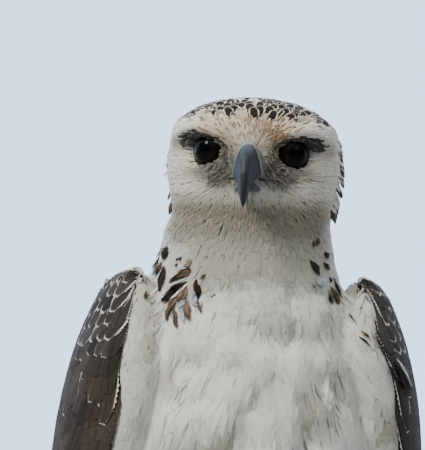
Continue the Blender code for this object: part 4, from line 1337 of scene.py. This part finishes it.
def lay_coverts(feathers, side, dice, shapes):
    """Rows of dark coverts with pale rims, scaly at the wrist and long and plain lower down."""
    for row, (tip, gap) in enumerate(wing_rows()):
        small = float(smooth(0.550, 0.575, tip))
        length = gap * (2.6 + 0.5 * small)
        breadth = gap * (0.62 + 0.34 * small) + 0.0030
        whole = wing_breadth(min(tip + length * 0.4, 0.610))
        count = max(4, int(whole / (breadth * (0.62 + 0.10 * small))))
        share = (np.arange(count) + 0.5 + (0.25 if row % 2 else -0.25)) / count
        share = np.clip(share + dice.normal(0, 0.12 / count, count), 0.004, 0.992)
        tips = tip + dice.normal(0, gap * (0.10 + 0.16 * (1 - small)), count)
        # Further back on the wing the rows hang lower
        tips = tips - 0.010 * small * smooth(0.15, 0.6, share)
        sizes = length * dice.uniform(0.92, 1.10, count)
        front = white_front(tips, side)
        lean = np.radians(14 + 16 * small) * smooth(1.0, 0.35, share) * smooth(0.0, 0.16, share - front)
        lean = lean + dice.normal(0, 0.05, count)
        chosen = share - 0.42 * breadth / whole > front + dice.normal(0, 0.005, count)
        paths, normals = wing_paths(tips, sizes, share, lean, side)
        grey = small * 0.75
        dark = tone(66, 58, 53) * (1 - grey) + tone(60, 58, 57) * grey
        ground = dark[None, :] * dice.uniform(0.55, 1.42, (count, 1))
        rim = np.tile(tone(116, 103, 92) * (1 - small) + tone(214, 213, 208) * small, (count, 1))
        edge = (0.06 + 0.17 * small) * dice.uniform(0.85, 1.25, count)
        edge = edge * np.where(share < front + 0.07, 0.4, 1.0)
        tipped = (dice.random(count) < 0.15) & (tip < 0.575)
        rim[tipped] = tone(226, 224, 220)
        edge = np.where(tipped, 0.16, edge)
        plan = np.stack([edge, np.full(count, 0.18), np.zeros(count)], 1)
        breadths = breadth * dice.uniform(0.92, 1.12, count)
        feathers.lay(
            paths[chosen], normals[chosen], breadths[chosen], -0.0016, 0.0008 + gap * 0.015, 0.12,
            [values[chosen] for values in (ground, rim, ground * 0.70, plan)], shapes,
            wing_patch(tips, share, side)[chosen], dice,
        )


# The long feathers: place across the wing's breadth, and height of the tip
SECONDARIES = (
    (0.045, 0.245), (0.105, 0.234), (0.165, 0.226), (0.225, 0.219), (0.285, 0.213), (0.345, 0.209),
    (0.405, 0.206), (0.465, 0.206), (0.525, 0.208), (0.585, 0.212), (0.645, 0.219), (0.705, 0.229),
    (0.765, 0.241), (0.825, 0.254), (0.885, 0.268), (0.940, 0.283),
)
PRIMARIES = (
    (0.08, 0.140), (0.19, 0.114), (0.30, 0.094), (0.41, 0.082), (0.50, 0.079), (0.59, 0.085),
    (0.68, 0.099), (0.77, 0.118), (0.86, 0.142),
)
FLIGHT_LEAN = 0.13


def lay_flight(feathers, side, dice, shapes, members, root, lifts, breadth, ground, bars, rim_colour):
    """A stack of long feathers, each over the one in front."""
    share = np.array([m[0] for m in members])
    tips = np.array([m[1] for m in members]) + dice.normal(0, 0.0015, len(members))
    along = np.linspace(0, 1, 12)[None, :]
    heights = root + (tips[:, None] - root) * along
    paths, normals = wing_surface(heights, share[:, None] + 0 * along, side)
    # Each leans, its front edge up, so the next one in front lies under it
    tangents = unit(np.gradient(paths, axis=1))
    sideways = unit(np.cross(tangents, normals)) * side
    normals = unit(normals + sideways * FLIGHT_LEAN)
    count = len(members)
    colours = (
        ground[None, :] * dice.uniform(0.88, 1.12, (count, 1)), np.tile(rim_colour, (count, 1)),
        np.tile(ground * 0.5, (count, 1)), np.tile(np.array((0.07, 0.05, bars)), (count, 1)),
    )
    feathers.lay(
        paths, normals, breadth, *lifts, 0.05, colours, shapes, wing_patch(tips, share, side), dice,
    )


def make_wings(material):
    dice = np.random.default_rng(29)
    covert_shapes = shape_set(5, 7, rows=6, columns=4, fringe=24, blunt=0.55, slim=0.62, barbs=0.004)
    long_shapes = shape_set(3, 9, rows=22, columns=6, fringe=70, blunt=0.13, slim=0.62, barbs=0.003)
    # Members, height of the roots, lifts of root and tip, breadth, ground colour, bars and rim colour
    stacks = (
        (PRIMARIES, 0.300, (-0.0035, 0.0000), 0.030, SOOT, 44.12, BARK),
        (SECONDARIES, 0.400, (-0.0010, 0.0030), 0.034, BARK * 0.8, 50.35, CREAM * 0.8),
    )
    for side, word in SIDES.items():
        coverts = Feathers()
        lay_coverts(coverts, side, dice, covert_shapes)
        coverts.build("wing_coverts_" + word, material)
        flight = Feathers()
        for stack in stacks:
            lay_flight(flight, side, dice, long_shapes, *stack)
        flight.build("flight_feathers_" + word, material)


# Tail


def tail_point(along, out, lift):
    """The point at a share of the tail's length, out from its middle line and lifted off its upper side."""
    forward = TAIL_ROOT[0] + (TAIL_TIP[0] - TAIL_ROOT[0]) * along
    height = TAIL_ROOT[1] + (TAIL_TIP[1] - TAIL_ROOT[1]) * along
    length = math.dist(TAIL_ROOT, TAIL_TIP)
    up = (TAIL_TIP[1] - TAIL_ROOT[1]) / length, (TAIL_ROOT[0] - TAIL_TIP[0]) / length
    return np.array((out, -(forward + lift * up[0]), height + lift * up[1])) + ORIGIN


def make_tail(material):
    """Six pairs of tail feathers, the middle pair on top, and the coverts over and under their roots."""
    dice = np.random.default_rng(41)
    shapes = shape_set(3, 13, rows=24, columns=6, fringe=60, blunt=0.10, slim=0.60, barbs=0.003)
    upward = unit(tail_point(0, 0, 1) - tail_point(0, 0, 0))
    stations = np.linspace(0.06, 0.985, 12)
    tail = Feathers()
    for rank in range(6):
        for side in (-1, 1):
            shorter = 1 - 0.006 * rank
            lift = 0.0052 + (0.0012 if side > 0 else 0) if rank == 0 else 0.0030 - 0.0016 * rank
            spread = [0.0015 if rank == 0 else (0.0028 + 0.0030 * a) * (rank + 0.4) for a in stations]
            path = np.array([tail_point(a * shorter, side * out, lift) for a, out in zip(stations, spread)])
            normal = unit(upward + np.array((side * (0.0 if rank == 0 else 0.10), 0, 0)))
            colours = [
                (BARK * dice.uniform(0.85, 1.0))[None, :], (CREAM * 0.85)[None, :], (UMBER * 0.8)[None, :],
                np.array([[0.06, 0.04, 50.75]]),
            ]
            spot = np.array([[0.5 + side * (0.04 + 0.06 * rank), 0.1]])
            normals = np.tile(normal, (1, len(path), 1))
            tail.lay(path[None], normals, 0.033, -0.001, 0.0004, 0.03, colours, shapes, spot, dice)
    small = shape_set(4, 15, rows=6, columns=4, fringe=26, blunt=0.45, slim=0.5, barbs=0.08)
    for face, ground, rim_breadth in ((1, BARK * 0.85, 0.16), (-1, WHITE, 0.0)):
        for row, start in enumerate(np.linspace(0.0, 0.36, 7)):
            count = 6 + row % 2
            for k in range(count):
                out = (k - (count - 1) / 2) * 0.0082 * (0.8 + 0.5 * start)
                length = 0.20 * dice.uniform(0.9, 1.1)
                depth = 0.0125 - 0.014 * start
                path = np.array([
                    tail_point(start + length * a, out * (1 + 0.25 * a), face * (depth - 0.004 * a))
                    for a in np.linspace(0, 1, 6)
                ])
                tint = ground * dice.uniform(0.9, 1.08)
                colours = [
                    tint[None, :], WHITE[None, :] * 0.85, (ground * 0.6)[None, :],
                    np.array([[rim_breadth, 0.04 if face > 0 else 0, 0]]),
                ]
                normal = unit(upward * face + np.array((out * 30, 0, 0)))
                spot = np.array([[0.5 + out * 4, 0.45 + 0.2 * face + start * 0.3]])
                normals = np.tile(normal, (1, len(path), 1))
                tail.lay(path[None], normals, 0.021, -0.002, 0.0012, 0.12, colours, small, spot, dice)
    tail.build("tail_feathers", material, ["tail"])


# Eyes, lids and brows


def eye_frame(side):
    """Centre of an eyeball and its forward, sideways and upward directions."""
    centre = on_head(side * EYE_OUT, EYE_FORWARD, 0)
    ahead = head_direction(side * math.sin(EYE_BEARING), math.cos(EYE_BEARING), 0.06)
    across = ahead.cross(Vector((0, 0, 1))).normalized()
    return centre, ahead, across, across.cross(ahead).normalized()


def off_axis(axes, turn, around):
    """The direction at an angle from the eye's axis, turned round it."""
    ahead, across, upward = axes
    return ahead * math.cos(turn) + (across * math.cos(around) + upward * math.sin(around)) * math.sin(turn)


def make_eye(side, material):
    centre, *axes = eye_frame(side)
    rings = []
    for turn in np.linspace(0.02, math.pi - 0.02, 28):
        bulge = 1 + 0.045 * math.exp(-((turn / 0.75) ** 4))
        rings.append([centre + off_axis(axes, turn, a) * EYE_RADIUS * bulge for a in angles_round(48)])
    word = SIDES[side]
    mesh = ringed_mesh("eye_" + word + "_ball", rings)
    add_piece("eyeball_" + word, mesh, material, ["eye_" + word])


BACK_CORNER = -1                # the direction across that points away from the bill, on the left eye
LID_SLOPE = math.radians(20)


def lid_opening(around, side):
    """Angle from the eye's axis to the lids' edge, at a turn round the eye."""
    wide, high = math.radians(76), math.radians(53)
    angle = 1 / math.sqrt((math.cos(around) / wide) ** 2 + (math.sin(around) / high) ** 2)
    # The upper lid cuts the top of the opening along a straight line that falls towards the back corner
    back = math.cos(around) * BACK_CORNER * side
    height = math.sin(around) * math.cos(LID_SLOPE) + back * math.sin(LID_SLOPE)
    if height > 0.05:
        angle = min(angle, math.radians(45) / height)
    return angle


LID_PROFILE = (                 # angle past the opening, height over the eyeball
    (0.00, 0.0002), (0.00, 0.0005), (0.012, 0.0008), (0.035, 0.0008), (0.06, 0.0006), (0.10, 0.0005),
    (0.20, 0.0005), (0.34, 0.0004), (0.52, 0.0000), (0.72, -0.0012), (0.90, -0.0030),
)
LID_RADIUS = EYE_RADIUS * 1.02


def make_lids(side, material):
    """Thin dark lids that lie on the eyeball, with a raised rim round the opening."""
    centre, *axes = eye_frame(side)
    rings = []
    for extra, rise in LID_PROFILE:
        ring = []
        for a in angles_round(72):
            crease = 0.00016 * math.sin(a * 23 + extra * 30) * min(1, extra * 6)
            way = off_axis(axes, lid_opening(a, side) + extra, a)
            ring.append(centre + way * (LID_RADIUS + rise + crease))
        rings.append(ring)
    name = "eyelids_" + SIDES[side]
    add_piece(name, ringed_mesh(name, rings, capped=False), material, ())


EYE_RINGS = (                   # angle past the opening, feathers, their length
    (0.07, 84, 0.0030), (0.15, 84, 0.0038), (0.25, 90, 0.0046), (0.37, 90, 0.0054), (0.50, 90, 0.0060),
)


def lay_eye_ring(side, feathers, dice, shapes):
    """Short feathers that spread from the lids' rim over the skin round the eye."""
    centre, ahead, across, upward = (np.array(v) for v in eye_frame(side))
    for extra, number, size in EYE_RINGS:
        turns = (np.arange(number) + dice.random(number) * 0.7) / number * 2 * math.pi
        opening = np.array([lid_opening(t, side) for t in turns]) + extra + dice.normal(0, 0.015, number)
        sizes = size * dice.uniform(0.8, 1.2, number)
        paths, normals = np.empty((2, number, 4, 3))
        back = np.cos(turns) * BACK_CORNER * side
        swirl = 0.30 * np.sin(turns) * -np.sign(BACK_CORNER * side)
        for k in range(4):
            angle = opening + sizes * k / 3 / EYE_RADIUS
            around = turns + swirl * k / 3 * sizes / EYE_RADIUS / np.maximum(np.sin(angle), 0.5)
            spread = across[None] * np.cos(around)[:, None] + upward[None] * np.sin(around)[:, None]
            way = ahead[None] * np.cos(angle)[:, None] + spread * np.sin(angle)[:, None]
            paths[:, k] = centre + way * (LID_RADIUS + 0.0005 + 0.0003 * k)
            normals[:, k] = way
        above = smooth(-0.15, 0.35, np.sin(turns) + 0.25 * -back)
        near = max(0.0, 1 - extra / 0.34)
        mix = dice.random(number)
        light = CREAM[None] * (0.62 + 0.38 * mix)[:, None]
        grey = tone(82, 80, 78)[None] * (0.7 + 0.5 * mix)[:, None]
        lower = light * (1 - 0.75 * near) + grey * 0.75 * near
        behind = smooth(0.2, 0.9, back)[:, None] * 0.55
        lower = lower * (1 - behind) + grey * 1.2 * behind
        dark = tone(62, 57, 54)[None] * (0.7 + 0.6 * mix)[:, None]
        ground = lower * (1 - above)[:, None] + dark * above[:, None]
        feathers.lay(
            paths, normals, sizes * 0.34, -0.0002, 0.0002, 0.1, plain(ground), shapes,
            body_patch(paths[:, 0]), dice,
        )


HEAD_REACH = 0.12               # farther out than any part of the head


def face_point(tree, bearing, up):
    """A point of the coat's outline at a bearing and height round the head, its normal, and the way to it."""
    way = head_direction(math.sin(bearing), math.cos(bearing), 0)
    hit, normal, _, _ = tree.ray_cast(on_head(0, 0, up) + way * HEAD_REACH, -way)
    return hit, normal, way


def lay_brow(side, tree, feathers, dice, shapes):
    """Dark feathers that sweep back along the brow's ridge and overhang the eye's top edge."""
    number = 620
    knots = np.array(BROW_LINE)
    bearings = dice.uniform(17, 60, number)
    middle = np.interp(bearings, knots[:, 0], knots[:, 1])
    half = np.interp(bearings, knots[:, 0], knots[:, 2])
    ups = middle + np.clip(dice.normal(0, 0.62, number), -1.5, 1.5) * half
    sizes = dice.uniform(0.0035, 0.0062, number)
    paths, normals = np.empty((2, number, 4, 3))
    for i in range(number):
        slope = np.interp(bearings[i] + 6, knots[:, 0], knots[:, 1]) - middle[i]
        for k in range(4):
            step = k / 3
            bearing = side * math.radians(bearings[i] + math.degrees(sizes[i] * step / 0.050))
            up = ups[i] + slope * 0.7 * step - 0.0006 * step
            paths[i, k], normals[i, k], _ = face_point(tree, bearing, up)
    ridge = 0.0016 * gauss(ups, middle - half * 0.3, half)
    ridge = ridge * smooth(14, 26, bearings) * smooth(70, 52, bearings)
    shade = dice.uniform(0.45, 1.55, (number, 1))
    ground = tone(72, 70, 68)[None] * shade
    grey = dice.random(number) < 0.33
    ground[grey] = tone(120, 116, 111)
    feathers.lay(
        paths, normals, sizes * 0.22, ridge - 0.0004, ridge + 0.0006, 0.1, plain(ground), shapes,
        body_patch(paths[:, 0]), dice,
    )


def lay_nape_tufts(tree, feathers, dice, shapes):
    """Loose pale, dark-tipped and dark feathers that stand out at the sides of the head, most on the left."""
    number = 66
    side = np.where(dice.random(number) < 0.86, 1, -1)
    bearings = np.radians(dice.uniform(80, 104, number)) * side
    ups = dice.uniform(-0.034, 0.012, number)
    sizes = dice.uniform(0.006, 0.011, number)
    paths, normals = np.empty((2, number, 4, 3))
    for i in range(number):
        hit, normal, _ = face_point(tree, bearings[i], ups[i])
        back = np.array(head_direction(-0.1 * side[i], -1, -0.9))
        for k in range(4):
            step = k / 3
            paths[i, k] = np.array(hit) + back * sizes[i] * step + np.array(normal) * (0.0026 * step**2)
            normals[i, k] = normal
    light = CREAM[None] * dice.uniform(0.8, 1.0, (number, 1))
    light[sizes > 0.0094] = UMBER * 1.2
    plan = np.zeros((number, 3))
    plan[:, 0] = np.where(sizes > 0.0080, 0.60, 0.0)
    colours = [light, np.tile(UMBER, (number, 1)), light * 0.8, plan]
    feathers.lay(
        paths, normals, sizes * 0.56, -0.0006, 0.0010, 0.1, colours, shapes, body_patch(paths[:, 0]), dice,
    )


def make_eye_feathers(tree, material):
    dice = np.random.default_rng(47)
    shapes = shape_set(5, 21, rows=2, columns=2, fringe=6, blunt=0.80, slim=0.40, barbs=0.30)
    feathers = Feathers()
    for side in (-1, 1):
        lay_eye_ring(side, feathers, dice, shapes)
        lay_brow(side, tree, feathers, dice, shapes)
    loose = shape_set(3, 22, rows=4, columns=2, fringe=12, blunt=0.60, slim=0.40, barbs=0.16)
    lay_nape_tufts(tree, feathers, dice, loose)
    feathers.build("brow_feathers", material)


# Bill, in sections: forward and up of its top line, the same of its bottom line, and half breadth

CERE = (
    ((0.0330, 0.0060), (0.0330, -0.0156), 0.0098),
    ((0.0430, 0.0064), (0.0430, -0.0162), 0.0098),
    ((0.0495, 0.0060), (0.0495, -0.0165), 0.0096),
    ((0.0522, 0.0046), (0.0522, -0.0163), 0.0090),
)
UPPER_BILL = (
    ((0.0500, 0.0040), (0.0500, -0.0158), 0.0084),
    ((0.0523, 0.0042), (0.0523, -0.0162), 0.0089),
    ((0.0605, 0.0032), (0.0580, -0.0168), 0.0087),
    ((0.0682, -0.0004), (0.0622, -0.0182), 0.0078),
    ((0.0738, -0.0070), (0.0662, -0.0198), 0.0056),
    ((0.0772, -0.0155), (0.0696, -0.0224), 0.0043),
    ((0.0778, -0.0245), (0.0724, -0.0264), 0.0030),
    ((0.0760, -0.0325), (0.0738, -0.0322), 0.0014),
    ((0.0752, -0.0347), (0.0745, -0.0344), 0.0003),
)
LOWER_BILL = (
    ((0.0360, -0.0170), (0.0360, -0.0252), 0.0088),
    ((0.0480, -0.0172), (0.0480, -0.0246), 0.0078),
    ((0.0580, -0.0184), (0.0570, -0.0240), 0.0058),
    ((0.0652, -0.0210), (0.0644, -0.0234), 0.0030),
)


def bill_rings(sections, count, segments, fullness, low_tuck):
    """Rings across the bill, between its top and bottom lines, widest just over the bottom line."""
    knots = [(i, *top, *bottom, half) for i, (top, bottom, half) in enumerate(sections)]
    made = through(knots, np.linspace(0, len(sections) - 1, count))
    rings = []
    for top_forward, top_up, low_forward, low_up, half in made:
        ring = []
        for a in angles_round(segments):
            share = 0.5 + 0.5 * math.cos(a)
            side = math.sin(a)
            bulge = (1 - share) ** fullness * (1 - low_tuck * max(0.0, 1 - share / 0.14) ** 2)
            out = math.copysign(half * 1.04 * bulge, side) if abs(side) > 1e-9 else 0.0
            forward = low_forward + (top_forward - low_forward) * share
            ring.append(on_head(out, forward, low_up + (top_up - low_up) * share))
        rings.append(ring)
    return rings


def dent(mesh, centre, size, depth, inward):
    """Presses an oval hollow into a mesh, such as a nostril."""
    points = vertex_array(mesh)
    away = (points - np.array(centre)) / np.array(size)
    press = np.exp(-((away**2).sum(1)) ** 1.6) * depth
    move_points(mesh, points + np.array(inward) * press[:, None])


def make_bill():
    horn = horn_material("slate horn", tone(24, 34, 50), tone(15, 21, 30), (0.45, 1.0), 0.52)
    dull = horn_material("dull horn", tone(92, 104, 112), tone(52, 60, 70), (0.35, 1.0), 0.6)
    wax = waxy_material("grey cere", tone(150, 158, 156), tone(96, 100, 100), 900.0, 0.0002, 0.45)
    upper = ringed_mesh("upper bill", bill_rings(UPPER_BILL, 60, 48, 0.36, 0.55))
    add_piece("bill_hook", upper, horn, ["bill_upper"])
    lower = ringed_mesh("lower bill", bill_rings(LOWER_BILL, 28, 36, 0.50, 0.60))
    add_piece("bill_under", lower, dull, ["bill_lower"])
    cere = ringed_mesh("cere", bill_rings(CERE, 34, 64, 0.34, 0.55))
    for side in (-1, 1):
        spot = on_head(side * 0.0098, 0.0470, -0.0012)
        dent(cere, spot, (0.0026, 0.0019, 0.0030), 0.0030, head_direction(-side, 0, 0))
    add_piece("cere_wax", cere, wax, ["cere"])


def make_gape(side, tree, material):
    """The corner of the mouth: a soft dark lip from the bill back under the eye."""
    rings = []
    for share in np.linspace(0, 1, 18):
        hit, _, way = face_point(tree, side * math.radians(9 + 11 * share), -0.0168 - 0.0008 * share)
        bulk = 0.0006 * (1 - share) ** 0.5 + 0.0002
        centre = hit + way * 0.0002
        ring = []
        for a in angles_round(8):
            ring.append(centre + way * bulk * math.cos(a) + Vector((0, 0, bulk * 0.8 * math.sin(a))))
        rings.append(ring)
    name = "gape_" + SIDES[side]
    add_piece(name, ringed_mesh(name, rings), material, ())


BRISTLES = 760
CERE_CLEAR = 0.0095             # no bristle roots nearer to the bill's middle than this


def make_bristles(tree, material):
    """Stiff bristles over the lores and along the mouth, more dark than pale."""
    dice = np.random.default_rng(53)
    roots, ways, sizes = [], [], []
    while len(roots) < BRISTLES:
        side = dice.choice((-1, 1))
        bearing = side * math.radians(dice.uniform(8, 34))
        up = dice.uniform(-0.0215, 0.006)
        if up > 0.002 - 0.0003 * abs(math.degrees(bearing)) and abs(math.degrees(bearing)) > 22:
            continue
        hit, normal, _ = face_point(tree, bearing, up)
        if hit is None or abs(head_local(np.array([hit]))[0][0]) < CERE_CLEAR:
            continue
        roots.append(np.array(hit) - np.array(normal) * 0.0006)
        lean = head_direction(side * 0.5, 0.9, -0.45 - 0.3 * dice.random())
        ways.append(unit(np.array(lean) + np.array(normal) * 0.35 + dice.normal(0, 0.18, 3)))
        sizes.append(dice.uniform(0.0035, 0.0070))
    roots, ways, sizes = np.array(roots), np.array(ways), np.array(sizes)
    along = np.linspace(0, 1, 4)[None, :, None]
    paths = roots[:, None] + ways[:, None] * sizes[:, None, None] * along
    paths = paths - np.array((0, 0, 0.22)) * sizes[:, None, None] * along**2
    normals = unit(np.cross(ways, unit(dice.normal(0, 1, (len(ways), 3)))))
    normals = np.repeat(normals[:, None], 4, axis=1)
    strand = np.array([(-1, 0, 0), (1, 0, 0), (-0.7, 0.5, 0), (0.7, 0.5, 0), (0, 1, 0)], float)
    faces = [(0, 1, 3, 2), (2, 3, 4)]
    measure = strand[:, :2] * (0.5, 1.0) + (0.5, 0.0)
    tints = np.where(dice.random((BRISTLES, 1)) < 0.60, SOOT[None] * 1.5, tone(176, 172, 166)[None])
    tints = tints * dice.uniform(0.6, 1.3, (BRISTLES, 1))
    bristles = Feathers()
    bristles.lay(
        paths, normals, 0.00026, 0, 0, 0, plain(tints, 1), [(strand, faces, measure)],
        body_patch(roots), dice,
    )
    bristles.build("lore_bristles", material)


# Feet

TOES = (                        # name, bearing in degrees, length, radius, radius of the talon's arc
    ("inner", -27, 0.056, 0.0088, 0.0180),
    ("middle", 5, 0.082, 0.0086, 0.0175),
    ("outer", 43, 0.064, 0.0080, 0.0155),
    ("hind", 176, 0.046, 0.0092, 0.0215),
)
TOE_SINK = 0.0012               # how far the floor presses a toe's round underside flat
TALON_RADIUS = 0.0048           # half the talon's thickness at its root
TALON_START = math.radians(118)         # where root and tip lie on the talon's arc, from ahead upwards
TALON_END = math.radians(14)
TALON_TIP_HEIGHT = 0.0008
PALM_RADIUS = 0.0155
FOOT_VOXEL = 0.0007
FOOT_CLEAR = 0.0003             # between the dressed foot and the floor


def toe_line(side, bearing, distance):
    angle = math.radians(bearing)
    out = FOOT_OUT + math.sin(angle) * distance
    forward = FOOT_FORWARD + math.cos(angle) * distance
    return Vector((side * out, -forward, 0)) + Vector(ORIGIN)


def toe_way(side, bearing):
    return toe_line(side, bearing, 1) - toe_line(side, bearing, 0)


def toe_rings(side, bearing, length, radius):
    across = toe_way(side, bearing + 90)
    rings = []
    for share in np.linspace(0, 1, 44):
        knuckle = 1 + 0.09 * math.cos(share * 3 * 2 * math.pi)
        bulk = radius * knuckle * (1.08 - 0.20 * share) * (1 if share < 0.97 else 0.8)
        centre = toe_line(side, bearing, length * share) + Vector((0, 0, radius * 0.98 - TOE_SINK))
        ring = []
        for a in angles_round(28):
            # Plates across the top of the toe, pads underneath
            plate = 0.00035 * abs(math.sin(share * 15 * math.pi)) ** 0.5 * max(0, math.sin(a)) ** 0.5
            pad = 0.0006 * math.cos(share * 3 * 2 * math.pi) * max(0, -math.sin(a))
            reach = bulk - 0.0003 + plate + pad
            point = centre + across * reach * math.cos(a) + Vector((0, 0, reach * math.sin(a)))
            point.z = max(point.z, ORIGIN[2] + FOOT_CLEAR)
            ring.append(point)
        rings.append(ring)
    return rings


def talon_rings(side, bearing, length, arc):
    ahead, across = toe_way(side, bearing), toe_way(side, bearing + 90)
    start = TALON_TIP_HEIGHT + arc * (math.sin(TALON_START) - math.sin(TALON_END))
    hub = toe_line(side, bearing, length - 0.004) - ahead * arc * math.cos(TALON_START)
    hub.z = ORIGIN[2] + start - arc * math.sin(TALON_START)
    rings = []
    for share in np.linspace(0, 1, 34):
        angle = TALON_START + (TALON_END - TALON_START) * share
        outward = ahead * math.cos(angle) + Vector((0, 0, math.sin(angle)))
        bulk = TALON_RADIUS * (1 - share) ** 0.7 + 0.0002
        ring = []
        for a in angles_round(24):
            groove = 1 - 0.10 * max(0, -math.cos(a)) ** 4
            aside = across * bulk * 0.85 * math.sin(a)
            ring.append(hub + outward * (arc + bulk * 1.15 * math.cos(a) * groove) + aside)
        rings.append(ring)
    return rings


def make_feet():
    toe_skin = waxy_material("toe scales", tone(186, 190, 170), tone(120, 124, 108), 330.0, 0.0004, 0.6)
    claw = horn_material("black talon", tone(44, 44, 48), tone(14, 14, 16), (0.0, 0.7), 0.30)
    for side, word in SIDES.items():
        body = bmesh.new()
        bmesh.ops.create_uvsphere(body, u_segments=36, v_segments=20, radius=PALM_RADIUS)
        bmesh.ops.scale(body, vec=(1, 1, 0.8), verts=body.verts)
        palm = toe_line(side, 0, 0) + Vector((0, 0, PALM_RADIUS * 0.75))
        bmesh.ops.translate(body, vec=palm, verts=body.verts)
        for _, bearing, length, radius, _ in TOES:
            body.from_mesh(ringed_mesh("toe", toe_rings(side, bearing, length, radius)))
        for vertex in body.verts:
            vertex.co.z = max(vertex.co.z, ORIGIN[2] + FOOT_CLEAR)
        whole = one_skin("foot " + word, body, FOOT_VOXEL, 0.5, 2)
        shade_smooth(whole)
        add_piece("toes_" + word, whole, toe_skin, ["foot_" + word])
        for name, bearing, length, _, arc in TOES:
            mesh = ringed_mesh(f"claw {name} {word}", talon_rings(side, bearing, length, arc))
            add_piece(f"claw_{name}_{word}", mesh, claw, [f"talon_{name}_{word}"])


# Stage

PIXEL = 0.00062                 # size of one picture point at the eyes
VIEW_BEARING = math.radians(-10)
VIEW_ROLL = math.radians(2.7)
EYES_IN_PICTURE = (251.0, 152.0)
PICTURE = (425, 450)
LENS = 400.0
FLOOR_RADIUS = 5.5              # its far edge is still below the picture


def make_floor():
    floor = bpy.data.meshes.new("floor")
    body = bmesh.new()
    bmesh.ops.create_circle(body, cap_ends=True, segments=96, radius=FLOOR_RADIUS)
    body.to_mesh(floor)
    body.free()
    material, tree, shader = new_material("pale floor")
    set_shader(tree, shader, {"Base Color": (*tone(160, 162, 165), 1), "Roughness": 0.9})
    floor.materials.append(material)
    ground = new_object("floor", floor)


def make_sky():
    """A studio that is bright and blue behind the bird, dim in front and dark below."""
    world = bpy.data.worlds.new("soft studio")
    world.use_nodes = True
    tree = world.node_tree
    way = split(tree, node(tree, "ShaderNodeTexCoord").outputs["Generated"])
    far = step_between(tree, way["Y"], 0.0, 0.95)
    behind = sums(tree, "MULTIPLY_ADD", far, 2.9, 0.20)
    overhead = sums(tree, "MULTIPLY", step_between(tree, way["Z"], 0.2, 0.9), 1.1)
    below = sums(tree, "MULTIPLY_ADD", step_between(tree, way["Z"], -0.3, -0.02), 0.85, 0.15)
    colour = blend(tree, far, tone(232, 230, 222), tone(184, 208, 242))
    strength = sums(tree, "MULTIPLY", sums(tree, "ADD", behind, overhead), below)
    set_shader(tree, tree.nodes["Background"], {"Color": colour, "Strength": strength})
    bpy.context.scene.world = world


LAMPS = (                       # name, place, diameter, power, colour
    ("key light", (-1.7, -1.1, 2.6), 0.8, 68.0, (255, 248, 236)),
    ("fill light", (1.2, -1.5, 1.9), 0.5, 2.0, (255, 250, 242)),
)


def make_lamps():
    aim = Vector(ORIGIN) + Vector((0, 0, 0.60))
    for name, place, size, power, colour in LAMPS:
        data = bpy.data.lights.new(name, "AREA")
        data.shape = "DISK"
        data.size = size
        data.energy = power
        data.color = tone(*colour)
        lamp = new_object(name, data)
        lamp.location = Vector(place)
        lamp.rotation_euler = (aim - lamp.location).to_track_quat("-Z", "Y").to_euler()


def make_camera():
    data = bpy.data.cameras.new("camera")
    data.lens = LENS
    data.clip_end = 200
    camera = new_object("camera", data)
    bpy.context.scene.camera = camera
    middle = (on_head(EYE_OUT, EYE_FORWARD, 0) + on_head(-EYE_OUT, EYE_FORWARD, 0)) / 2
    right, back = view_axes()
    up = Vector((0, 0, 1))
    # The picture leans clockwise, so the camera leans the other way
    lean_right = right * math.cos(VIEW_ROLL) + up * math.sin(VIEW_ROLL)
    lean_up = up * math.cos(VIEW_ROLL) - right * math.sin(VIEW_ROLL)
    aside = (PICTURE[0] / 2 - EYES_IN_PICTURE[0]) * PIXEL
    above = (EYES_IN_PICTURE[1] - PICTURE[1] / 2) * PIXEL
    target = middle + lean_right * aside + lean_up * above
    distance = LENS / data.sensor_width * PICTURE[1] * PIXEL
    turned = Matrix((lean_right, lean_up, back)).transposed().to_4x4()
    camera.matrix_world = Matrix.Translation(target + back * distance) @ turned


def main():
    plumage = feather_material()
    outline = body_outline()
    make_skin(outline)
    tree = lay_coat(outline, plumage)
    lay_marks(tree, plumage)
    make_wings(plumage)
    make_tail(plumage)
    bare = waxy_material("dark lid skin", tone(52, 48, 46), tone(24, 22, 22), 1500.0, 0.0001, 0.5)
    eye = eye_material()
    for side in (-1, 1):
        make_eye(side, eye)
        make_lids(side, bare)
        make_gape(side, tree, bare)
    make_eye_feathers(tree, plumage)
    make_bill()
    make_bristles(tree, plumage)
    make_feet()
    make_floor()
    make_sky()
    make_lamps()
    make_camera()


main()
